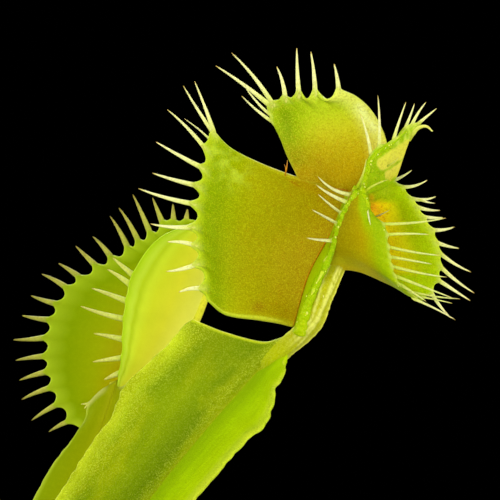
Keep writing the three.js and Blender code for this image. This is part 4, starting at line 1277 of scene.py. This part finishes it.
def crown():
    """Pale leaf bases that overlap round a heart of young leaves."""
    place = lambda p: (p + [0, 0, CROWN_HEIGHT]) * MM
    piece = Piece("crown_bases", "crown", "leaf_base", LEAF_MATERIALS, place)
    for k in range(CROWN_SCALES):
        turn, ring = SCALE_TURN * k, k / CROWN_SCALES
        radius = 3.6 * (1 - 0.62 * ring)
        top = 2.6 + 2.2 * ring
        out = np.array([math.cos(turn), math.sin(turn), 0])
        side = np.array([-math.sin(turn), math.cos(turn), 0])

        def scale(s, t, out=out, side=side, radius=radius, top=top):
            s, t = np.broadcast_arrays(s, t)
            half = (t - 0.5) * 2
            wide = radius * 0.85 * (1 - 0.75 * s**2)
            hug = radius * (1 - 0.5 * s**1.6) * (1 - 0.32 * half**2)
            points = out * hug[..., None] + side * (wide * half)[..., None]
            points[..., 2] = 0.1 + top * s**0.9
            return points

        sheet(piece, scale, np.linspace(0, 1, 17), np.linspace(0, 1, 15), lambda s, t, p: 0.75 - 0.3 * s,
              lambda s, t, p, side: tone(ramp(s, CROWN_TONES)), kind=BLADE)
    stem(piece, [(0, 0, 0), (0.1, 0, 2), (0, 0.1, 4.1)], 16, [(0, 1.8), (0.5, 1.4), (1, 0.3)], CROWN_TONES)
    return piece.finish()


# ---- Soil ----

POT_HEIGHT, RIM_RADIUS, FOOT_RADIUS, WALL, POT_FLOOR = 80.0, 45.0, 32.0, 1.8, 2.5
COLLAR_HEIGHT, COLLAR_STEP, EDGE = 13.0, 1.6, 0.6
SOIL_LEVEL, SOIL_DOME, GAP = 71.0, 1.5, 0.3
BEND = POT_HEIGHT - COLLAR_HEIGHT
INNER_BEND = RIM_RADIUS - EDGE - COLLAR_STEP - WALL


def inner_radius(z):
    return np.interp(z, [POT_FLOOR, BEND, POT_HEIGHT], [FOOT_RADIUS - WALL, INNER_BEND, RIM_RADIUS - WALL])


BRIM = SOIL_LEVEL - SOIL_DOME
SOIL_BOTTOM = POT_FLOOR + GAP
SOIL_EDGE = inner_radius(BRIM) - GAP
SOIL_DIP = 0.25  # round the crown
GRAINS, MOSS_STALKS = 1500, 420
WHITE_EVERY = 22  # one grain of perlite in so many
MOSS_TONES = [(0, (92, 104, 34)), (1, (158, 170, 66))]


def ground(x, y):
    """The height of the lumpy soil, which is calm near the crown and the pot's wall."""
    r = np.hypot(x, y)
    flat = np.stack([x, y, np.zeros_like(x)], axis=-1)
    lumps = 0.9 * rough(flat, 6, 2) + 0.7 * rough(flat, 2.2, 3) + 0.35 * rough(flat, 0.9, 4)
    calm = smooth(r, 4.5, 8) * (1 - 0.9 * smooth(r, SOIL_EDGE - 1.2, SOIL_EDGE))
    return SOIL_LEVEL - SOIL_DOME * (r / SOIL_EDGE) ** 2 + np.minimum(lumps * calm, 0.9)


def scattered(random, low, high):
    """A place on the soil between two radii, as likely anywhere between them."""
    radius = math.sqrt(random.uniform(low**2, high**2))
    way = random.uniform(0, 2 * math.pi)
    return radius * math.cos(way), radius * math.sin(way)


def soil():
    piece = Piece("peat_soil", "soil", "peat", [soil_material()], lambda p: p * MM)
    around = 192
    angle = circle(around)
    radii = np.concatenate([np.linspace(0, SOIL_EDGE - 0.6, 90)[1:], [SOIL_EDGE]])
    r, a = np.meshgrid(radii, angle, indexing="ij")
    x, y = r * np.cos(a), r * np.sin(a)
    rings = [np.stack([x, y, ground(x, y) - SOIL_DIP * (1 - smooth(r, 4.5, 8))], axis=-1).reshape(-1, 3)]
    sides = (BEND, 40.0, SOIL_BOTTOM)
    for height in sides:
        radius = inner_radius(height) - GAP
        rings.append(np.stack([radius * np.cos(angle), radius * np.sin(angle), np.full(around, height)], -1))
    points = np.vstack([*rings, [[0, 0, SOIL_LEVEL - SOIL_DIP], [0, 0, SOIL_BOTTOM]]])
    outward = [(face[0], *face[:0:-1]) for face in wall(len(radii) + len(sides), around)]
    shade = np.clip(0.5 + 0.5 * rough(points, 2.5, 9), 0, 1)
    piece.add(points, outward, tone(tint(linear((36, 24, 16)), (74, 50, 32), shade)))
    random = np.random.default_rng(7)
    for k in range(GRAINS):
        x, y = scattered(random, 6.5, SOIL_EDGE - 1.6)
        white = k % WHITE_EVERY == 0
        size = random.uniform(0.6, 1.05) if white else random.uniform(0.25, 0.85)
        shape = BALL * (1 + 0.28 * rough(BALL * 3 + k, 2.5))[:, None]
        shape = shape * np.array([1, random.uniform(0.5, 1), random.uniform(0.4, 0.8)]) * size
        shape = shape @ spin(random.uniform(0, 2 * math.pi)) + [x, y, ground(x, y) + 0.1 * size]
        colour = linear((214, 208, 192))
        if not white:
            colour = tint(linear((40, 26, 16)), (98, 66, 40), random.uniform(0, 1))
        piece.add(shape, BALL_FACES, tone(colour[None]))
    for _ in range(MOSS_STALKS):
        x, y = scattered(random, 8, SOIL_EDGE - 2)
        if rough([x, y, 0], 9, 12) < 0.05:
            continue
        base = np.array([x, y, ground(x, y) - 0.1])
        lean = random.uniform(-0.9, 0.9, 2)
        tip = base + [*lean, random.uniform(0.7, 1.7)]
        spike(piece, base, tip, radius=0.16, root=0.1, rings=5, sides=5, stops=MOSS_TONES,
              bow=random.uniform(-0.2, 0.2), face=RIGHT)
    return piece.finish()


def soil_material():
    n = Nodes("peat")
    own = n.add("ShaderNodeVertexColor", layer_name="tone")
    fine = n.noise(0.5, 4.0, 0.7)
    damp = n.noise(9, 2.0)
    height = n.maths("ADD", fine, n.maths("MULTIPLY", n.noise(1.3, 3.0), 0.8))
    return n.finish(n.skin(
        Base_Color=n.mix(n.mapped(fine, 0.42, 0.62, 0, 0.6), own.outputs["Color"], rgba((24, 16, 10))),
        Roughness=n.mapped(damp, 0.35, 0.65, 0.62, 0.95),
        Specular_IOR_Level=0.3,
        Normal=n.relief(0.9, 0.0004, height),
    ))


# ---- Pot ----


DRAINS = 6
DRAIN_RING, DRAIN_RADIUS, DRAIN_DEPTH = 21.0, 3.5, 12.0
RECESS, RECESS_RADIUS = 0.6, 22.0  # the underside's middle stands a little off the ground
SHARP = math.radians(40)


def pot_outline():
    """The pot's section from the middle of the underside round to the middle of the floor."""
    foot, shoulder = FOOT_RADIUS, RIM_RADIUS - COLLAR_STEP - EDGE
    collar = shoulder + COLLAR_STEP
    line = [(0, RECESS), (RECESS_RADIUS, RECESS), (RECESS_RADIUS + 2, 0), (foot - 0.8, 0),
            (foot - 0.35, 0.08), (foot - 0.1, 0.35), (foot, 0.8)]
    line += [(foot + (shoulder - foot) * k, 0.8 + (BEND - 0.8) * k) for k in np.linspace(0, 1, 24)[1:]]
    line += [(shoulder + 0.25, BEND - 0.1), (collar - 0.5, BEND + 0.1), (collar - 0.15, BEND + 0.3),
             (collar, BEND + 0.7)]
    line += [(collar + EDGE * k, BEND + 0.7 + (COLLAR_HEIGHT - 1.5) * k) for k in np.linspace(0, 1, 6)[1:]]
    line += [(RIM_RADIUS - back, POT_HEIGHT - down)
             for back, down in ((0.15, 0.3), (0.5, 0.05), (0.9, 0), (1.4, 0.05), (WALL, 0.4))]
    line += [(float(inner_radius(z)), float(z)) for z in np.linspace(POT_HEIGHT - 1.5, POT_FLOOR + 1, 24)]
    return line + [(foot - WALL - 0.8, POT_FLOOR), (0, POT_FLOOR)]


def shown(name, made):
    """Turns a bmesh into an object of the scene."""
    mesh = bpy.data.meshes.new(name)
    made.to_mesh(mesh)
    made.free()
    thing = bpy.data.objects.new(name, mesh)
    bpy.context.scene.collection.objects.link(thing)
    return thing


def pot():
    made = bmesh.new()
    verts = [made.verts.new((r * MM, 0, z * MM)) for r, z in pot_outline()]
    for one, two in zip(verts, verts[1:]):
        made.edges.new((one, two))
    bmesh.ops.spin(made, geom=made.verts[:] + made.edges[:], cent=(0, 0, 0), axis=(0, 0, 1),
                   angle=2 * math.pi, steps=144, use_duplicate=False)
    bmesh.ops.remove_doubles(made, verts=made.verts[:], dist=1e-6)
    bmesh.ops.recalc_face_normals(made, faces=made.faces[:])
    body = shown("plastic_pot", made)
    cutter = bmesh.new()
    for angle in circle(DRAINS):
        spot = Vector((DRAIN_RING * math.cos(angle), DRAIN_RING * math.sin(angle), 1)) * MM
        bmesh.ops.create_cone(cutter, cap_ends=True, segments=40, radius1=DRAIN_RADIUS * MM,
                              radius2=DRAIN_RADIUS * MM, depth=DRAIN_DEPTH * MM,
                              matrix=Matrix.Translation(spot))
    tool = shown("drains", cutter)
    cut = body.modifiers.new("cut", "BOOLEAN")
    cut.object, cut.operation, cut.solver = tool, "DIFFERENCE", "EXACT"
    ready = body.evaluated_get(bpy.context.evaluated_depsgraph_get())
    final = bpy.data.meshes.new_from_object(ready)
    body.modifiers.clear()
    body.data = final
    bpy.data.objects.remove(tool)
    final.materials.clear()
    final.materials.append(pot_material())
    final.polygons.foreach_set("use_smooth", [True] * len(final.polygons))
    final.set_sharp_from_angle(angle=SHARP)
    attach(body, "root")
    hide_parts("pot")


def pot_material():
    n = Nodes("terracotta_plastic")
    cloudy = n.noise(30, 3.0)
    fine = n.noise(0.9, 3.0, 0.6)
    height = n.add("ShaderNodeSeparateXYZ", {"Vector": n.where}).outputs["Z"]
    ragged = n.maths("ADD", height, n.maths("MULTIPLY", cloudy, 0.012))
    scale = n.maths("MULTIPLY", n.mapped(ragged, 0.018, 0.008), n.mapped(fine, 0.42, 0.66))
    colour = n.mix(n.mapped(cloudy, 0.3, 0.7), rgba((158, 78, 44)), rgba((176, 92, 54)))
    colour = n.mix(n.mapped(fine, 0.5, 0.75, 0, 0.3), colour, rgba((196, 118, 80)))
    return n.finish(n.skin(
        Base_Color=n.mix(n.maths("MULTIPLY", scale, 0.4), colour, rgba((212, 190, 168))),
        Roughness=n.mapped(cloudy, 0.3, 0.7, 0.46, 0.62),
        Specular_IOR_Level=0.45,
        Normal=n.relief(0.25, 0.0001, fine),
    ))


front_leaf()
back_leaf()
for number, leaf in enumerate(ROSETTE):
    rosette_leaf(number, *leaf)
crown()
soil()
pot()


# ---- Floor and light ----


FLOOR_RADIUS, FLOOR_DROP = 0.46, 0.0005
LIGHTS_AIM = (0.03, 0.0, 0.13)


def floor():
    made = bmesh.new()
    bmesh.ops.create_circle(made, cap_ends=True, segments=128, radius=FLOOR_RADIUS)
    disc = shown("floor", made)
    disc.location.z = -FLOOR_DROP
    n = Nodes("pale_floor")
    colour = n.mix(n.noise(120, 2.0), rgba((160, 160, 157)), rgba((170, 170, 167)))
    disc.data.materials.append(n.finish(n.skin(Base_Color=colour, Roughness=0.7)))


def softbox(name, place, size, power, colour=(1, 1, 1)):
    data = bpy.data.lights.new(name, "AREA")
    data.shape = "RECTANGLE"
    data.size, data.size_y = size
    data.energy = power
    data.color = colour
    lamp = bpy.data.objects.new(name, data)
    lamp.location = place
    way = Vector(LIGHTS_AIM) - Vector(place)
    lamp.rotation_euler = way.to_track_quat("-Z", "Y").to_euler()
    lamp.visible_camera = False
    bpy.context.scene.collection.objects.link(lamp)


floor()
softbox("left", (-0.36, -0.34, 0.38), (0.3, 0.36), 4.0, (1, 0.98, 0.9))
softbox("right", (0.47, -0.25, 0.25), (0.3, 0.4), 3.5, (1, 0.98, 0.9))
softbox("front", (0.0, -0.62, 0.3), (0.34, 0.34), 2.2, (1, 0.98, 0.92))
softbox("behind", (0.1, 0.4, 0.4), (0.36, 0.3), 4.4, (1, 1, 0.97))
softbox("behind_left", (-0.4, 0.28, 0.26), (0.3, 0.3), 2.6)

world = bpy.data.worlds.new("dark")
world.use_nodes = True
backdrop = world.node_tree.nodes["Background"]
backdrop.inputs["Color"].default_value = (0, 0, 0, 1)
backdrop.inputs["Strength"].default_value = 0.0
bpy.context.scene.world = world
bpy.context.scene.view_settings.view_transform = "Standard"
